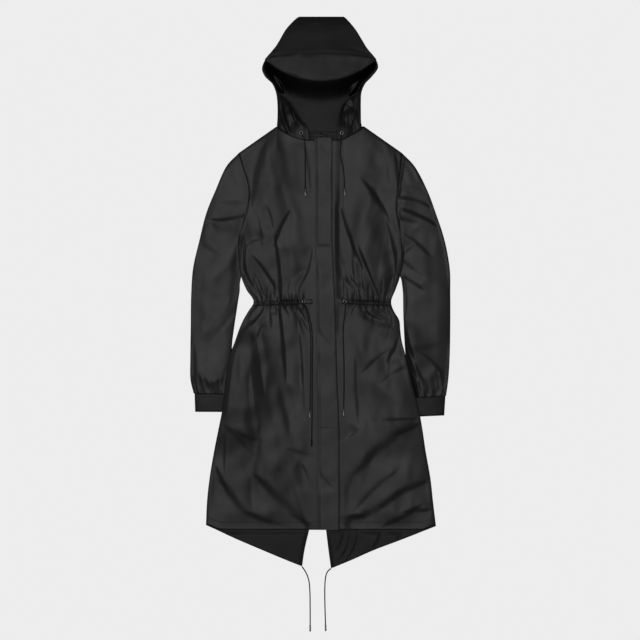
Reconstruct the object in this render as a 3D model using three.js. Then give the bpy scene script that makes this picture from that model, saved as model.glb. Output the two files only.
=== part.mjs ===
// A hooded parka with a tailed back hem, laid flat on its back with its front facing up.
// Millimetres, +Z up. It rests on z = 0, hood toward +Y, middle of its width and length at the origin.
// Left and right are as seen from above, looking at the front. Every row of a table is one section,
// level or fold, given in the same frame.
import * as THREE from 'three';

// Cloth and how its layers lie on each other
const CLOTH = 1.6;
const LAYER_GAP = 0.3;
const EDGE_HEIGHT = 2 * CLOTH + LAYER_GAP;
const PUFF = 3.6;
const PLATEAU = EDGE_HEIGHT + PUFF;
const ROLL_WIDTH = 42;
const CENTRE = 1;

// Levels of the body, from the shoulder tip down to the front hem
const SHOULDER_TIP = 349;
const UNDERARM = 41;
const WAIST_TOP = -16;
const WAIST_BOTTOM = -28;
const WAIST_DROP = 7;
const FRONT_HEM = -593;
const SIDE_HEM = -581;
const ARMHOLE_STEPS = 8;
const LEVELS_BELOW = [22, 2, WAIST_TOP, WAIST_BOTTOM, -46, -68, -92, -120, -152, -192, -236, -280, -322, -368, -420,
  -474, -532, FRONT_HEM];

// Side edges of the body at each level: armhole seam, waist, skirt
const SIDES = [
  { y: 349, left: -204.5, right: 205 },
  { y: 314, left: -194, right: 202.5 },
  { y: 284, left: -184, right: 198.5 },
  { y: 247, left: -179, right: 195 },
  { y: 219, left: -182.5, right: 192.5 },
  { y: 189, left: -188.5, right: 194.5 },
  { y: 147, left: -197.5, right: 200 },
  { y: 89, left: -201, right: 203.5 },
  { y: 41, left: -198, right: 199.5 },
  { y: 7, left: -184.5, right: 188 },
  { y: -24, left: -166.5, right: 177 },
  { y: -46, left: -180, right: 184 },
  { y: -68, left: -192.5, right: 197 },
  { y: -93, left: -203.5, right: 200 },
  { y: -118, left: -212, right: 203 },
  { y: -151, left: -224.5, right: 211.5 },
  { y: -223, left: -237, right: 228 },
  { y: -298, left: -246, right: 247.5 },
  { y: -343, left: -255, right: 255.5 },
  { y: -393, left: -265, right: 263 },
  { y: -468, left: -277.5, right: 276 },
  { y: -518, left: -283, right: 281.5 },
  { y: -581, left: -286, right: 289 },
];

// Neck: shoulder seam ends at the neck point, the front neck edge falls from there to the centre
const NECK_WIDTH = 109;
const NECK_LEVEL = 416;
const NECK_DROP = 34;
const NECK_REACH = 83;
const BACK_COLUMNS = 8;

// Vent and tail edges of the back halves
const VENT_TOP = -474;
const VENT = [
  { y: -474, left: CENTRE, right: CENTRE },
  { y: -532, left: -13, right: 7 },
  { y: -593, left: -28, right: 14.5 },
  { y: -643, left: -39.5, right: 20.5 },
  { y: -690, left: -46.5, right: 27 },
];
const TAIL_HEM = [
  { u: 0, left: -581, right: -584 },
  { u: 0.32, left: -618, right: -618 },
  { u: 0.57, left: -643.5, right: -643 },
  { u: 0.81, left: -667, right: -670 },
  { u: 1, left: -684.5, right: -689.5 },
];

// Fronts: columns from the side edge to the line where the flap begins, then the centre
const FRONT_COLUMNS = 19;
const FLAP_LINE = { left: -17, right: 51 };
const FLAP_FADE = 26;
const WAIST_GATHERS = { left: 6, right: 6 };
const GATHER_HEIGHT = 1.5;
const GATHER_REACH = 62;

// Skirt sides lie over the sleeves, which lifts them between these levels
const SLEEVE_LIFT = 9;
const LIFT = { start: -98, full: -144, hold: -320, end: -366, inner: 160, outer: 208 };

// Largest folds of the fronts: from one end to the other, sideways bow, half width and depth
const FRONT_FOLDS = [
  { x0: -63, y0: 219, x1: -101, y1: 154, bow: 5, width: 12, depth: 3.2 },
  { x0: -104, y0: 150, x1: -98, y1: -10, bow: -14, width: 11, depth: 3.2 },
  { x0: -151, y0: 159, x1: -150, y1: -10, bow: -16, width: 12, depth: 2.4 },
  { x0: -21, y0: 107, x1: -68, y1: -10, bow: 11, width: 10, depth: 2.4 },
  { x0: -168, y0: 87, x1: -118, y1: 24, bow: 0, width: 10, depth: 1.8 },
  { x0: -151, y0: 352, x1: -163, y1: 239, bow: 0, width: 16, depth: 1.6 },
  { x0: 37, y0: 249, x1: 87, y1: 47, bow: 6, width: 11, depth: 3.4 },
  { x0: 102, y0: 97, x1: 150, y1: -10, bow: 0, width: 11, depth: 2.8 },
  { x0: 107, y0: 277, x1: 179, y1: 179, bow: -4, width: 11, depth: 2.4 },
  { x0: 167, y0: 167, x1: 186, y1: 57, bow: 4, width: 10, depth: 1.8 },
  { x0: -107, y0: -36, x1: -56, y1: -273, bow: -18, width: 13, depth: 3.4 },
  { x0: -138, y0: -86, x1: -158, y1: -313, bow: -20, width: 14, depth: 2.6 },
  { x0: -256, y0: -523, x1: -111, y1: -578, bow: 8, width: 13, depth: 2.0 },
  { x0: -151, y0: -491, x1: -31, y1: -578, bow: 0, width: 13, depth: 2.6 },
  { x0: 174, y0: -138, x1: 114, y1: -186, bow: 0, width: 13, depth: 1.8 },
  { x0: 87, y0: -178, x1: 94, y1: -298, bow: 0, width: 14, depth: 1.8 },
  { x0: 247, y0: -331, x1: 124, y1: -418, bow: 8, width: 16, depth: 2.4 },
  { x0: 259, y0: -471, x1: 49, y1: -571, bow: -16, width: 15, depth: 2.8 },
];

// Sleeve sections from armhole to cuff: outer edge and inner edge of the flattened tube
const SLEEVES = {
  left: [
    { ox: -204.5, oy: 349, ix: -198, iy: 41 },
    { ox: -234.5, oy: 317, ix: -199.5, iy: 34 },
    { ox: -262, oy: 257, ix: -201.5, iy: 22 },
    { ox: -285.5, oy: 199, ix: -202, iy: 4 },
    { ox: -302.5, oy: 132, ix: -205.5, iy: -18 },
    { ox: -318.5, oy: 62, ix: -210, iy: -48 },
    { ox: -323.5, oy: -8, ix: -216, iy: -88 },
    { ox: -324.5, oy: -88, ix: -221, iy: -131 },
    { ox: -325.5, oy: -163, ix: -222, iy: -183 },
    { ox: -325, oy: -218, ix: -222, iy: -226 },
    { ox: -317, oy: -252, ix: -222, iy: -253 },
  ],
  right: [
    { ox: 205, oy: 349, ix: 199.5, iy: 41 },
    { ox: 235.5, oy: 317, ix: 202.5, iy: 34 },
    { ox: 267.5, oy: 257, ix: 205, iy: 19 },
    { ox: 290, oy: 197, ix: 207, iy: -1 },
    { ox: 311, oy: 132, ix: 207.5, iy: -23 },
    { ox: 324, oy: 62, ix: 208, iy: -53 },
    { ox: 325.5, oy: -8, ix: 209.5, iy: -93 },
    { ox: 325.5, oy: -88, ix: 212, iy: -138 },
    { ox: 324, oy: -163, ix: 215.5, iy: -188 },
    { ox: 320.5, oy: -218, ix: 218, iy: -233 },
    { ox: 315, oy: -258, ix: 219.5, iy: -263 },
  ],
};
const SLEEVE_ROWS = 22;
const SLEEVE_GATHERS = 4;
const SLEEVE_GATHER_REACH = 46;
const SLEEVE_GATHER_HEIGHT = 1.1;
const SLEEVE_FOLDS = [
  { x0: -188, y0: 194, x1: -263, y1: 184, bow: -4, width: 11, depth: 2.6 },
  { x0: -298, y0: 132, x1: -201, y1: 94, bow: -8, width: 16, depth: 2.0 },
  { x0: -236, y0: -38, x1: -291, y1: -93, bow: 0, width: 13, depth: 2.2 },
  { x0: -223, y0: -66, x1: -258, y1: -103, bow: 0, width: 10, depth: 1.6 },
  { x0: 199, y0: 247, x1: 279, y1: 209, bow: 6, width: 11, depth: 2.6 },
  { x0: 227, y0: 209, x1: 292, y1: 167, bow: 5, width: 10, depth: 2.0 },
  { x0: 219, y0: 139, x1: 262, y1: 104, bow: 0, width: 11, depth: 2.2 },
  { x0: 212, y0: 39, x1: 247, y1: 17, bow: 0, width: 11, depth: 1.8 },
  { x0: 234, y0: -153, x1: 312, y1: -233, bow: 4, width: 12, depth: 2.4 },
  { x0: 232, y0: -198, x1: 274, y1: -253, bow: 0, width: 10, depth: 2.0 },
];

// Cuff bands: the two ends of the top edge and of the bottom edge
const CUFFS = {
  left: [
    { ox: -314.5, oy: -252.4, ix: -220, iy: -253.4 },
    { ox: -313, oy: -298, ix: -219.5, iy: -298.5 },
  ],
  right: [
    { ox: 313, oy: -258.5, ix: 220, iy: -263.4 },
    { ox: 310, oy: -307, ix: 221.5, iy: -311 },
  ],
};
const CUFF_HEIGHT = 8.4;

// Storm flap over the closure: its sewn left edge and its free right edge
const FLAP_CLOTH = 2;
const FLAP_TOP = 388;
const FLAP_SEAM = -338;
const FLAP = [
  { y: 388, left: -13.5, right: 30 },
  { y: 132, left: -13, right: 30 },
  { y: -20, left: -11, right: 37 },
  { y: -200, left: -9.5, right: 42 },
  { y: -343, left: -8.5, right: 48 },
  { y: -593, left: -8.5, right: 48 },
];

// Hood centre strip: along the floor, round the crown, and forward to the brim seam
const HOOD_STRIP = [
  { y: 417, z: 0, left: -49.6, right: 49.6, drop: 0, corner: 0 },
  { y: 530, z: 0, left: -49.6, right: 49.6, drop: 0, corner: 0 },
  { y: 645, z: 0, left: -49.6, right: 49.6, drop: 0, corner: 0 },
  { y: 666, z: 1.2, left: -49.6, right: 49.6, drop: 0, corner: 0 },
  { y: 681, z: 5, left: -49.8, right: 51.5, drop: 0, corner: 0 },
  { y: 688, z: 11, left: -50.5, right: 55, drop: 0, corner: 0 },
  { y: 689.5, z: 18, left: -52, right: 57, drop: 0, corner: 0 },
  { y: 687, z: 26, left: -55, right: 60, drop: 1, corner: 0 },
  { y: 680, z: 33, left: -64, right: 68, drop: 2, corner: 0 },
  { y: 657, z: 42, left: -85.5, right: 87.5, drop: 4, corner: 0 },
  { y: 627, z: 48.5, left: -103, right: 106, drop: 5, corner: 0 },
  { y: 611, z: 51, left: -116, right: 118, drop: 5.5, corner: 4 },
  { y: 597, z: 53, left: -138, right: 139.5, drop: 6, corner: 15 },
];
const HOOD_STRIP_COLUMNS = 12;

// Hood side panels: seam on the floor, outermost fold and its height, and the mouth edge
const HOOD_SIDES = {
  left: [
    { y: 417.5, seam: 50, side: 109, fold: 9.4, rimX: 27, rimY: 380, rimZ: 10.6 },
    { y: 424, seam: 50, side: 108, fold: 11.5, rimX: 31, rimY: 411, rimZ: 13.5 },
    { y: 442, seam: 50, side: 107, fold: 16, rimX: 51, rimY: 437, rimZ: 20 },
    { y: 476, seam: 50, side: 107.5, fold: 23, rimX: 76, rimY: 474, rimZ: 29 },
    { y: 503, seam: 50, side: 111.5, fold: 28, rimX: 106, rimY: 501, rimZ: 37 },
    { y: 522, seam: 50, side: 120, fold: 29, rimX: 116, rimY: 521, rimZ: 42 },
    { y: 540, seam: 50, side: 138, fold: 30, rimX: 133, rimY: 540, rimZ: 45.5 },
    { y: 559, seam: 50, side: 145.5, fold: 30, rimX: 141, rimY: 559, rimZ: 46.5 },
    { y: 582, seam: 50, side: 137.5, fold: 28, rimX: 134, rimY: 582, rimZ: 44 },
    { y: 607, seam: 50, side: 118, fold: 27, rimX: 114.5, rimY: 607, rimZ: 42.5 },
    { y: 627, seam: 50, side: 102.5, fold: 25, rimX: 99, rimY: 627, rimZ: 40.5 },
    { y: 657, seam: 50, side: 85, fold: 22, rimX: 81.5, rimY: 657, rimZ: 35 },
    { y: 680, seam: 51, side: 64, fold: 18, rimX: 61.5, rimY: 680, rimZ: 28 },
  ],
  right: [
    { y: 417.5, seam: 50, side: 104, fold: 9.4, rimX: 41, rimY: 380, rimZ: 10.6 },
    { y: 427, seam: 50, side: 102, fold: 13, rimX: 43, rimY: 425, rimZ: 17 },
    { y: 455, seam: 50, side: 101.5, fold: 19, rimX: 48, rimY: 453, rimZ: 24 },
    { y: 476, seam: 50, side: 101.5, fold: 23, rimX: 59, rimY: 474, rimZ: 30 },
    { y: 503, seam: 50, side: 103.5, fold: 28, rimX: 98, rimY: 501, rimZ: 38 },
    { y: 522, seam: 50, side: 112, fold: 29, rimX: 108, rimY: 521, rimZ: 42 },
    { y: 540, seam: 50, side: 129, fold: 30, rimX: 124, rimY: 540, rimZ: 45.5 },
    { y: 562, seam: 50, side: 144, fold: 30, rimX: 139.5, rimY: 562, rimZ: 46.5 },
    { y: 582, seam: 50, side: 139, fold: 28, rimX: 135.5, rimY: 582, rimZ: 44 },
    { y: 607, seam: 50, side: 120, fold: 27, rimX: 116.5, rimY: 607, rimZ: 42.5 },
    { y: 627, seam: 50, side: 105.5, fold: 25, rimX: 102, rimY: 627, rimZ: 40.5 },
    { y: 657, seam: 50, side: 87, fold: 22, rimX: 83.5, rimY: 657, rimZ: 35 },
    { y: 680, seam: 53, side: 68, fold: 18, rimX: 65.5, rimY: 680, rimZ: 28 },
  ],
};
const HOOD_SIDE_COLUMNS = 12;

// Brim: hangs forward of its seam, deepest in the middle
const BRIM_TIP = 527;
const BRIM_RISE = 52;
const BRIM_LIFT = 3;
const BRIM_GAP = 0.8;
const BRIM_ROWS = 4;

// Eyelets and drawcords
const EYELET = { radius: 5, hole: 2.6, height: 1.5 };
const EYELETS = {
  hood_eyelet_left: { x: -48, y: 399, on: 'hood_side_left' },
  hood_eyelet_right: { x: 54, y: 399, on: 'hood_side_right' },
  waist_eyelet_left: { x: -41, y: -22, on: 'waist_tunnel_left' },
  waist_eyelet_right: { x: 61, y: -22, on: 'waist_tunnel_right' },
};
const CORD_RADIUS = 1.5;
const CORD_SIDES = 8;
const CORD_STEP = 9;
const TIP_RADIUS = 2.1;
const TIP_LENGTH = 17;
const TIP_SIDES = 10;

// Hanger loop at the back of the neck
const LOOP = { left: -23, right: 19, y: 396, width: 6, foot: 3.4, rise: 3, cloth: 1.2, columns: 8 };

const group = new THREE.Group();

function clamp01(value) {
  return Math.min(Math.max(value, 0), 1);
}

function lerp(from, to, share) {
  return from + (to - from) * share;
}

// Smooth step from 0 at one value to 1 at another
function ease(from, to, value) {
  const share = clamp01((value - from) / (to - from));
  return share * share * (3 - 2 * share);
}

// Quarter round of a folded edge: 0 at the edge, 1 at the roll's width
function roll(distance) {
  const share = clamp01(distance / ROLL_WIDTH);
  return Math.sqrt(1 - (1 - share) ** 2);
}

// Straight-line reading of one column of a table against another
function read(table, key, column, value) {
  const rising = table[table.length - 1][key] > table[0][key];
  let row = 0;
  while (row < table.length - 2 && (rising ? value > table[row + 1][key] : value < table[row + 1][key])) {
    row += 1;
  }
  const share = clamp01((value - table[row][key]) / (table[row + 1][key] - table[row][key]));
  return lerp(table[row][column], table[row + 1][column], share);
}

// Closed wall between a grid of outer points and the matching grid of inner points.
// A ring's columns close on themselves, a sheet's end in edge strips.
function wallGeometry(outer, inner, ring) {
  const rows = outer.length;
  const columns = outer[0].length;
  const points = [...outer.flat(), ...inner.flat()];
  const faces = [];
  const at = (side, row, column) => side * rows * columns + row * columns + (column % columns);
  const quad = (a, b, c, d) => faces.push(a, b, c, a, c, d);
  const lastColumn = ring ? columns : columns - 1;
  for (let row = 0; row < rows - 1; row += 1) {
    for (let column = 0; column < lastColumn; column += 1) {
      quad(at(0, row, column), at(0, row, column + 1), at(0, row + 1, column + 1), at(0, row + 1, column));
      quad(at(1, row, column), at(1, row + 1, column), at(1, row + 1, column + 1), at(1, row, column + 1));
    }
  }
  for (let column = 0; column < lastColumn; column += 1) {
    quad(at(0, 0, column + 1), at(0, 0, column), at(1, 0, column), at(1, 0, column + 1));
    quad(at(0, rows - 1, column), at(0, rows - 1, column + 1), at(1, rows - 1, column + 1), at(1, rows - 1, column));
  }
  if (!ring) {
    for (let row = 0; row < rows - 1; row += 1) {
      quad(at(0, row, 0), at(0, row + 1, 0), at(1, row + 1, 0), at(1, row, 0));
      quad(at(0, row + 1, columns - 1), at(0, row, columns - 1), at(1, row, columns - 1), at(1, row + 1, columns - 1));
    }
  }
  if (signedVolume(points, faces) < 0) {
    faces.reverse();
  }
  const geometry = new THREE.BufferGeometry();
  geometry.setAttribute('position', new THREE.Float32BufferAttribute(points.flat(), 3));
  geometry.setIndex(faces);
  geometry.computeVertexNormals();
  return geometry;
}

function signedVolume(points, faces) {
  let volume = 0;
  for (let face = 0; face < faces.length; face += 3) {
    const [a, b, c] = [0, 1, 2].map((corner) => new THREE.Vector3(...points[faces[face + corner]]));
    volume += a.dot(b.cross(c)) / 6;
  }
  return volume;
}

// A sheet's inner points: straight down from its outer points
function below(outer, thickness) {
  return outer.map((row) => row.map(([x, y, z]) => [x, y, z - thickness]));
}

function addPiece(name, geometry, colour, roughness, metalness) {
  const material = new THREE.MeshStandardMaterial({ color: colour, roughness, metalness });
  const mesh = new THREE.Mesh(geometry, material);
  mesh.name = name;
  group.add(mesh);
  return mesh;
}

function addCloth(name, geometry) {
  return addPiece(name, geometry, 0x1d1d1e, 0.55, 0);
}

// Height change of a soft trough with a lower ridge along one side of it
function foldHeight(folds, x, y) {
  let height = 0;
  for (const fold of folds) {
    const length = Math.hypot(fold.x1 - fold.x0, fold.y1 - fold.y0);
    const alongX = (fold.x1 - fold.x0) / length;
    const alongY = (fold.y1 - fold.y0) / length;
    const along = ((x - fold.x0) * alongX + (y - fold.y0) * alongY) / length;
    const across = (x - fold.x0) * alongY - (y - fold.y0) * alongX;
    const bowed = across + fold.bow * 4 * along * (1 - along) * Math.sign(alongY || 1) * -1;
    const ends = ease(-0.12, 0.16, along) * (1 - ease(0.84, 1.12, along));
    const trough = Math.exp(-((bowed / fold.width) ** 2));
    const ridge = Math.exp(-(((bowed - 2 * fold.width) / (1.2 * fold.width)) ** 2));
    height -= fold.depth * ends * (trough - 0.4 * ridge);
  }
  return height;
}

// Level of a body row at one column: the top rows follow the shoulder and neck, the waist rows sag
function bodyLevel(level, u, topShift) {
  const top = topShift * ease(140, SHOULDER_TIP, level);
  const waist = -WAIST_DROP * (1 - u) * ease(60, 0, Math.abs(level - WAIST_TOP));
  return level + top + waist;
}

// Height of the skirt side above the floor where a sleeve lies under it
function sleeveLift(x, y) {
  const along = ease(LIFT.start, LIFT.full, y) * (1 - ease(LIFT.hold, LIFT.end, y));
  return SLEEVE_LIFT * along * ease(LIFT.inner, LIFT.outer, Math.abs(x));
}

// Shoulder line up to the neck point, measured from the shoulder tip, at a distance from the centre
function shoulderShift(reach, tipReach) {
  return (NECK_LEVEL - SHOULDER_TIP) * clamp01((tipReach - reach) / (tipReach - NECK_WIDTH));
}

// Fall of the front neck edge below the neck point
function neckFall(reach) {
  const share = clamp01((NECK_WIDTH - reach) / NECK_REACH);
  return NECK_DROP * (1 - (1 - share) ** 2);
}

// All levels of a front: armhole steps, then waist and skirt
function bodyLevels() {
  const armhole = [];
  for (let step = 0; step <= ARMHOLE_STEPS; step += 1) {
    armhole.push(lerp(SHOULDER_TIP, UNDERARM, step / ARMHOLE_STEPS));
  }
  return [...armhole, ...LEVELS_BELOW];
}

// Top surface of a front: soft roll at its free edges, folds, and gathers at the waist
function frontHeight(side, x, y, dropFromTop) {
  const edge = read(SIDES, 'y', side, y);
  const fromSide = Math.abs(edge) - Math.abs(x) + Math.max(0, y - UNDERARM);
  const nearNeck = ease(NECK_WIDTH - 40, NECK_WIDTH, Math.abs(x));
  const shoulderRoll = lerp(1, roll(dropFromTop), nearNeck);
  const plain = EDGE_HEIGHT + PUFF * roll(fromSide) * shoulderRoll;
  const fromFlap = side === 'left' ? FLAP_LINE.left - x : x - FLAP_LINE.right;
  const inside = ease(0, FLAP_FADE, fromFlap) * ease(0, 20, fromSide) * ease(0, 26, dropFromTop);
  const waistPhase = (Math.abs(x) - Math.abs(FLAP_LINE[side])) / (Math.abs(edge) - Math.abs(FLAP_LINE[side]));
  const wave = Math.cos(2 * Math.PI * WAIST_GATHERS[side] * waistPhase);
  const gather = GATHER_HEIGHT * wave * (1 - ease(0, GATHER_REACH, Math.abs(y - WAIST_BOTTOM)));
  const folded = plain + inside * (foldHeight(FRONT_FOLDS, x, y) + gather);
  return sleeveLift(x, y) + Math.max(folded, EDGE_HEIGHT);
}

// Outer points of a front, one row for each level
function frontPoints(side) {
  const flapLine = FLAP_LINE[side];
  const centre = CENTRE + (side === 'left' ? -0.5 : 0.5) * LAYER_GAP;
  return bodyLevels().map((level) => {
    const row = [];
    for (let column = 0; column <= FRONT_COLUMNS + 1; column += 1) {
      const atCentre = column > FRONT_COLUMNS;
      const u = atCentre ? 1 : column / FRONT_COLUMNS;
      const edgeAtTop = Math.abs(SIDES[0][side]);
      const topReach = atCentre ? 0 : lerp(edgeAtTop, Math.abs(flapLine), u);
      const topShift = shoulderShift(topReach, edgeAtTop) - neckFall(topReach);
      const hemShift = (SIDE_HEM - FRONT_HEM) * (1 - ease(0, 0.16, u)) * ease(-474, FRONT_HEM, level);
      const y = bodyLevel(level, u, topShift) + hemShift;
      const x = atCentre ? centre : lerp(read(SIDES, 'y', side, y), flapLine, u);
      const top = SHOULDER_TIP + topShift;
      row.push([x, y, frontHeight(side, x, y, top - y)]);
    }
    return row;
  });
}

// Outer points of a back half: flat on the floor, lifted where it lies on a sleeve
function backPoints(side) {
  const centre = CENTRE + (side === 'left' ? -0.5 : 0.5) * LAYER_GAP;
  const edgeAtTop = Math.abs(SIDES[0][side]);
  return bodyLevels().map((level) => {
    const row = [];
    for (let column = 0; column <= BACK_COLUMNS; column += 1) {
      const u = column / BACK_COLUMNS;
      const topShift = shoulderShift(lerp(edgeAtTop, 0, u), edgeAtTop);
      const tail = (read(TAIL_HEM, 'u', side, u) - FRONT_HEM) * ease(-420, FRONT_HEM, level);
      const y = bodyLevel(level, u, topShift) + tail;
      const middle = y > VENT_TOP ? centre : read(VENT, 'y', side, y) + centre - CENTRE;
      const x = lerp(read(SIDES, 'y', side, y), middle, u);
      row.push([x, y, sleeveLift(x, y) + CLOTH]);
    }
    return row;
  });
}

// Flattened tube between two edges: upper layer out and back along the lower one.
// Each row gives its two edges, its bow along the armhole, and the upper layer's height.
function flatTube(rows, steps) {
  const outer = [];
  const inner = [];
  for (const { place, height, width } of rows) {
    const inset = CLOTH / width;
    const ringOut = [];
    const ringIn = [];
    for (let step = 0; step <= steps; step += 1) {
      const s = step / steps;
      const [x, y] = place(s);
      const [innerX, innerY] = place(Math.min(Math.max(s, inset), 1 - inset));
      const z = height(s, x, y);
      ringOut.push([x, y, z]);
      ringIn.push([innerX, innerY, z - CLOTH]);
    }
    for (let step = steps; step >= 0; step -= 1) {
      const s = step / steps;
      const [innerX, innerY] = place(Math.min(Math.max(s, inset), 1 - inset));
      ringOut.push([...place(s), 0]);
      ringIn.push([innerX, innerY, CLOTH]);
    }
    outer.push(ringOut);
    inner.push(ringIn);
  }
  return wallGeometry(outer, inner, true);
}

// Sleeve: sections fan out from the armhole, whose curve fades along the first third of the sleeve
function sleeveGeometry(side) {
  const table = SLEEVES[side];
  const outward = side === 'left' ? -1 : 1;
  const edges = [];
  for (const [keyX, keyY] of [['ox', 'oy'], ['ix', 'iy']]) {
    const spine = new THREE.CatmullRomCurve3(table.map((row) => new THREE.Vector3(row[keyX], row[keyY], 0)));
    edges.push(spine);
  }
  const rows = [];
  for (let index = 0; index <= SLEEVE_ROWS; index += 1) {
    const along = index / SLEEVE_ROWS;
    const outerEdge = edges[0].getPoint(along);
    const innerEdge = edges[1].getPoint(along);
    const width = outerEdge.distanceTo(innerEdge);
    const curveShare = (1 - ease(0, 0.35, along));
    const place = (s) => {
      const armholeY = lerp(SHOULDER_TIP, UNDERARM, s);
      const chord = lerp(SIDES[0][side], SIDES[8][side], s);
      const curve = (read(SIDES, 'y', side, armholeY) - chord) * curveShare;
      const x = lerp(outerEdge.x, innerEdge.x, s) + curve + outward * LAYER_GAP * 1.3;
      return [x, lerp(outerEdge.y, innerEdge.y, s)];
    };
    const height = (s, x, y) => {
      const edgeRoll = roll(s * width) * roll((1 - s) * width);
      const inside = ease(0, 0.12, s) * (1 - ease(0.88, 1, s)) * ease(0, 0.06, along);
      const fromCuff = (1 - along) * 560;
      const gatherShare = 1 - ease(0, SLEEVE_GATHER_REACH, fromCuff);
      const gather = SLEEVE_GATHER_HEIGHT * gatherShare * Math.cos(2 * Math.PI * SLEEVE_GATHERS * s);
      const folded = EDGE_HEIGHT + PUFF * edgeRoll + inside * (foldHeight(SLEEVE_FOLDS, x, y) + gather);
      return Math.max(folded, EDGE_HEIGHT);
    };
    rows.push({ place, height, width });
  }
  return flatTube(rows, ARMHOLE_STEPS);
}

// Cuff: a plain flattened band
function cuffGeometry(side) {
  const [top, bottom] = CUFFS[side];
  const rows = [0, 0.5, 1].map((along) => {
    const ox = lerp(top.ox, bottom.ox, along);
    const oy = lerp(top.oy, bottom.oy, along);
    const ix = lerp(top.ix, bottom.ix, along);
    const iy = lerp(top.iy, bottom.iy, along);
    const width = Math.hypot(ox - ix, oy - iy);
    const place = (s) => [lerp(ox, ix, s), lerp(oy, iy, s)];
    const height = (s) => EDGE_HEIGHT + (CUFF_HEIGHT - EDGE_HEIGHT) * roll(s * width) * roll((1 - s) * width) * 0.7;
    return { place, height, width };
  });
  return flatTube(rows, 8);
}

// Storm flap between two levels, flat on the fronts
function flapGeometry(from, to, rowCount) {
  const outer = [];
  for (let row = 0; row <= rowCount; row += 1) {
    const y = lerp(from, to, row / rowCount);
    const left = read(FLAP, 'y', 'left', y);
    const right = read(FLAP, 'y', 'right', y);
    const top = PLATEAU + LAYER_GAP + FLAP_CLOTH;
    outer.push([0, 0.5, 1].map((share) => [lerp(left, right, share), y, top]));
  }
  return wallGeometry(outer, below(outer, FLAP_CLOTH), false);
}

// Waist tunnel: made from the front's own points at its two waist levels, moved out
function tunnelGeometry(front) {
  const waistRow = ARMHOLE_STEPS + 1 + LEVELS_BELOW.indexOf(WAIST_TOP);
  const outer = [front[waistRow], front[waistRow + 1]].map((row) => (
    row.slice(0, FRONT_COLUMNS - 1).map(([x, y, z]) => [x, y, z + LAYER_GAP + CLOTH])
  ));
  return wallGeometry(outer, below(outer, CLOTH), false);
}

// Hood centre strip: profile carried across its width, wall thickness taken square to the profile
function hoodStripGeometry() {
  const outer = [];
  const inner = [];
  HOOD_STRIP.forEach((row, index) => {
    const before = HOOD_STRIP[Math.max(index - 1, 0)];
    const after = HOOD_STRIP[Math.min(index + 1, HOOD_STRIP.length - 1)];
    const length = Math.hypot(after.y - before.y, after.z - before.z);
    const normalY = -(before.z - after.z) / length;
    const normalZ = (before.y - after.y) / length;
    const rowOut = [];
    const rowIn = [];
    for (let column = 0; column <= HOOD_STRIP_COLUMNS; column += 1) {
      const c = (2 * column) / HOOD_STRIP_COLUMNS - 1;
      const x = lerp(row.left, row.right, column / HOOD_STRIP_COLUMNS);
      const y = row.y - row.corner * c ** 4;
      const z = row.z - row.drop * c * c;
      rowOut.push([x, y, z]);
      rowIn.push([x, y - normalY * CLOTH, z - normalZ * CLOTH]);
    }
    outer.push(rowOut);
    inner.push(rowIn);
  });
  return wallGeometry(outer, inner, false);
}

// Section of a hood side: along the floor, up round its outermost fold, and in to the mouth edge
function hoodSideSection(row) {
  const foldInset = Math.min(8, 0.3 * (row.side - row.rimX) + 1);
  const floorEnd = row.side - Math.min(10, (row.side - row.seam) * 0.3);
  const shape = new THREE.CatmullRomCurve3([
    new THREE.Vector3(row.seam, 0, 0),
    new THREE.Vector3(lerp(row.seam, floorEnd, 0.5), 0, 0),
    new THREE.Vector3(floorEnd, 0, 0),
    new THREE.Vector3(row.side, 0, row.fold * 0.5),
    new THREE.Vector3(row.side - foldInset, 0, row.fold),
    new THREE.Vector3(lerp(row.side - foldInset, row.rimX, 0.5), 0, lerp(row.fold, row.rimZ, 0.5)),
    new THREE.Vector3(row.rimX, 0, row.rimZ),
  ]);
  return shape.getPoints(HOOD_SIDE_COLUMNS).map((point) => ({ reach: point.x, z: Math.max(point.z, 0) }));
}

function hoodSideGeometry(side) {
  const sign = side === 'left' ? -1 : 1;
  const outer = [];
  const inner = [];
  for (const row of HOOD_SIDES[side]) {
    const section = hoodSideSection(row);
    const rowOut = [];
    const rowIn = [];
    section.forEach((point, index) => {
      const before = section[Math.max(index - 1, 0)];
      const after = section[Math.min(index + 1, section.length - 1)];
      const length = Math.hypot(after.reach - before.reach, after.z - before.z);
      const normalX = (after.z - before.z) / length;
      const normalZ = -(after.reach - before.reach) / length;
      const onTop = index > HOOD_SIDE_COLUMNS / 2;
      const share = onTop ? clamp01((row.side - point.reach) / (row.side - row.rimX)) : 0;
      const y = row.y - (row.y - row.rimY) * (1 - (1 - share) ** 2);
      rowOut.push([sign * point.reach, y, point.z]);
      rowIn.push([sign * (point.reach - normalX * CLOTH), y, point.z - normalZ * CLOTH]);
    });
    outer.push(rowOut);
    inner.push(rowIn);
  }
  return wallGeometry(outer, inner, false);
}

// Brim: from just forward of the crown's edge to its own curved edge
function brimGeometry() {
  const seam = HOOD_STRIP[HOOD_STRIP.length - 1];
  const outer = [];
  for (let row = 0; row <= BRIM_ROWS; row += 1) {
    const share = row / BRIM_ROWS;
    const points = [];
    for (let column = 0; column <= HOOD_STRIP_COLUMNS; column += 1) {
      const c = (2 * column) / HOOD_STRIP_COLUMNS - 1;
      const x = lerp(seam.left, seam.right, column / HOOD_STRIP_COLUMNS);
      const seamY = seam.y - seam.corner * c ** 4 - BRIM_GAP;
      const edgeY = BRIM_TIP + BRIM_RISE * c * c;
      const z = seam.z - seam.drop * c * c + BRIM_LIFT * share * (1 - c * c);
      points.push([x, lerp(seamY, edgeY, share), z]);
    }
    outer.push(points);
  }
  return wallGeometry(outer, below(outer, CLOTH), false);
}

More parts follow.
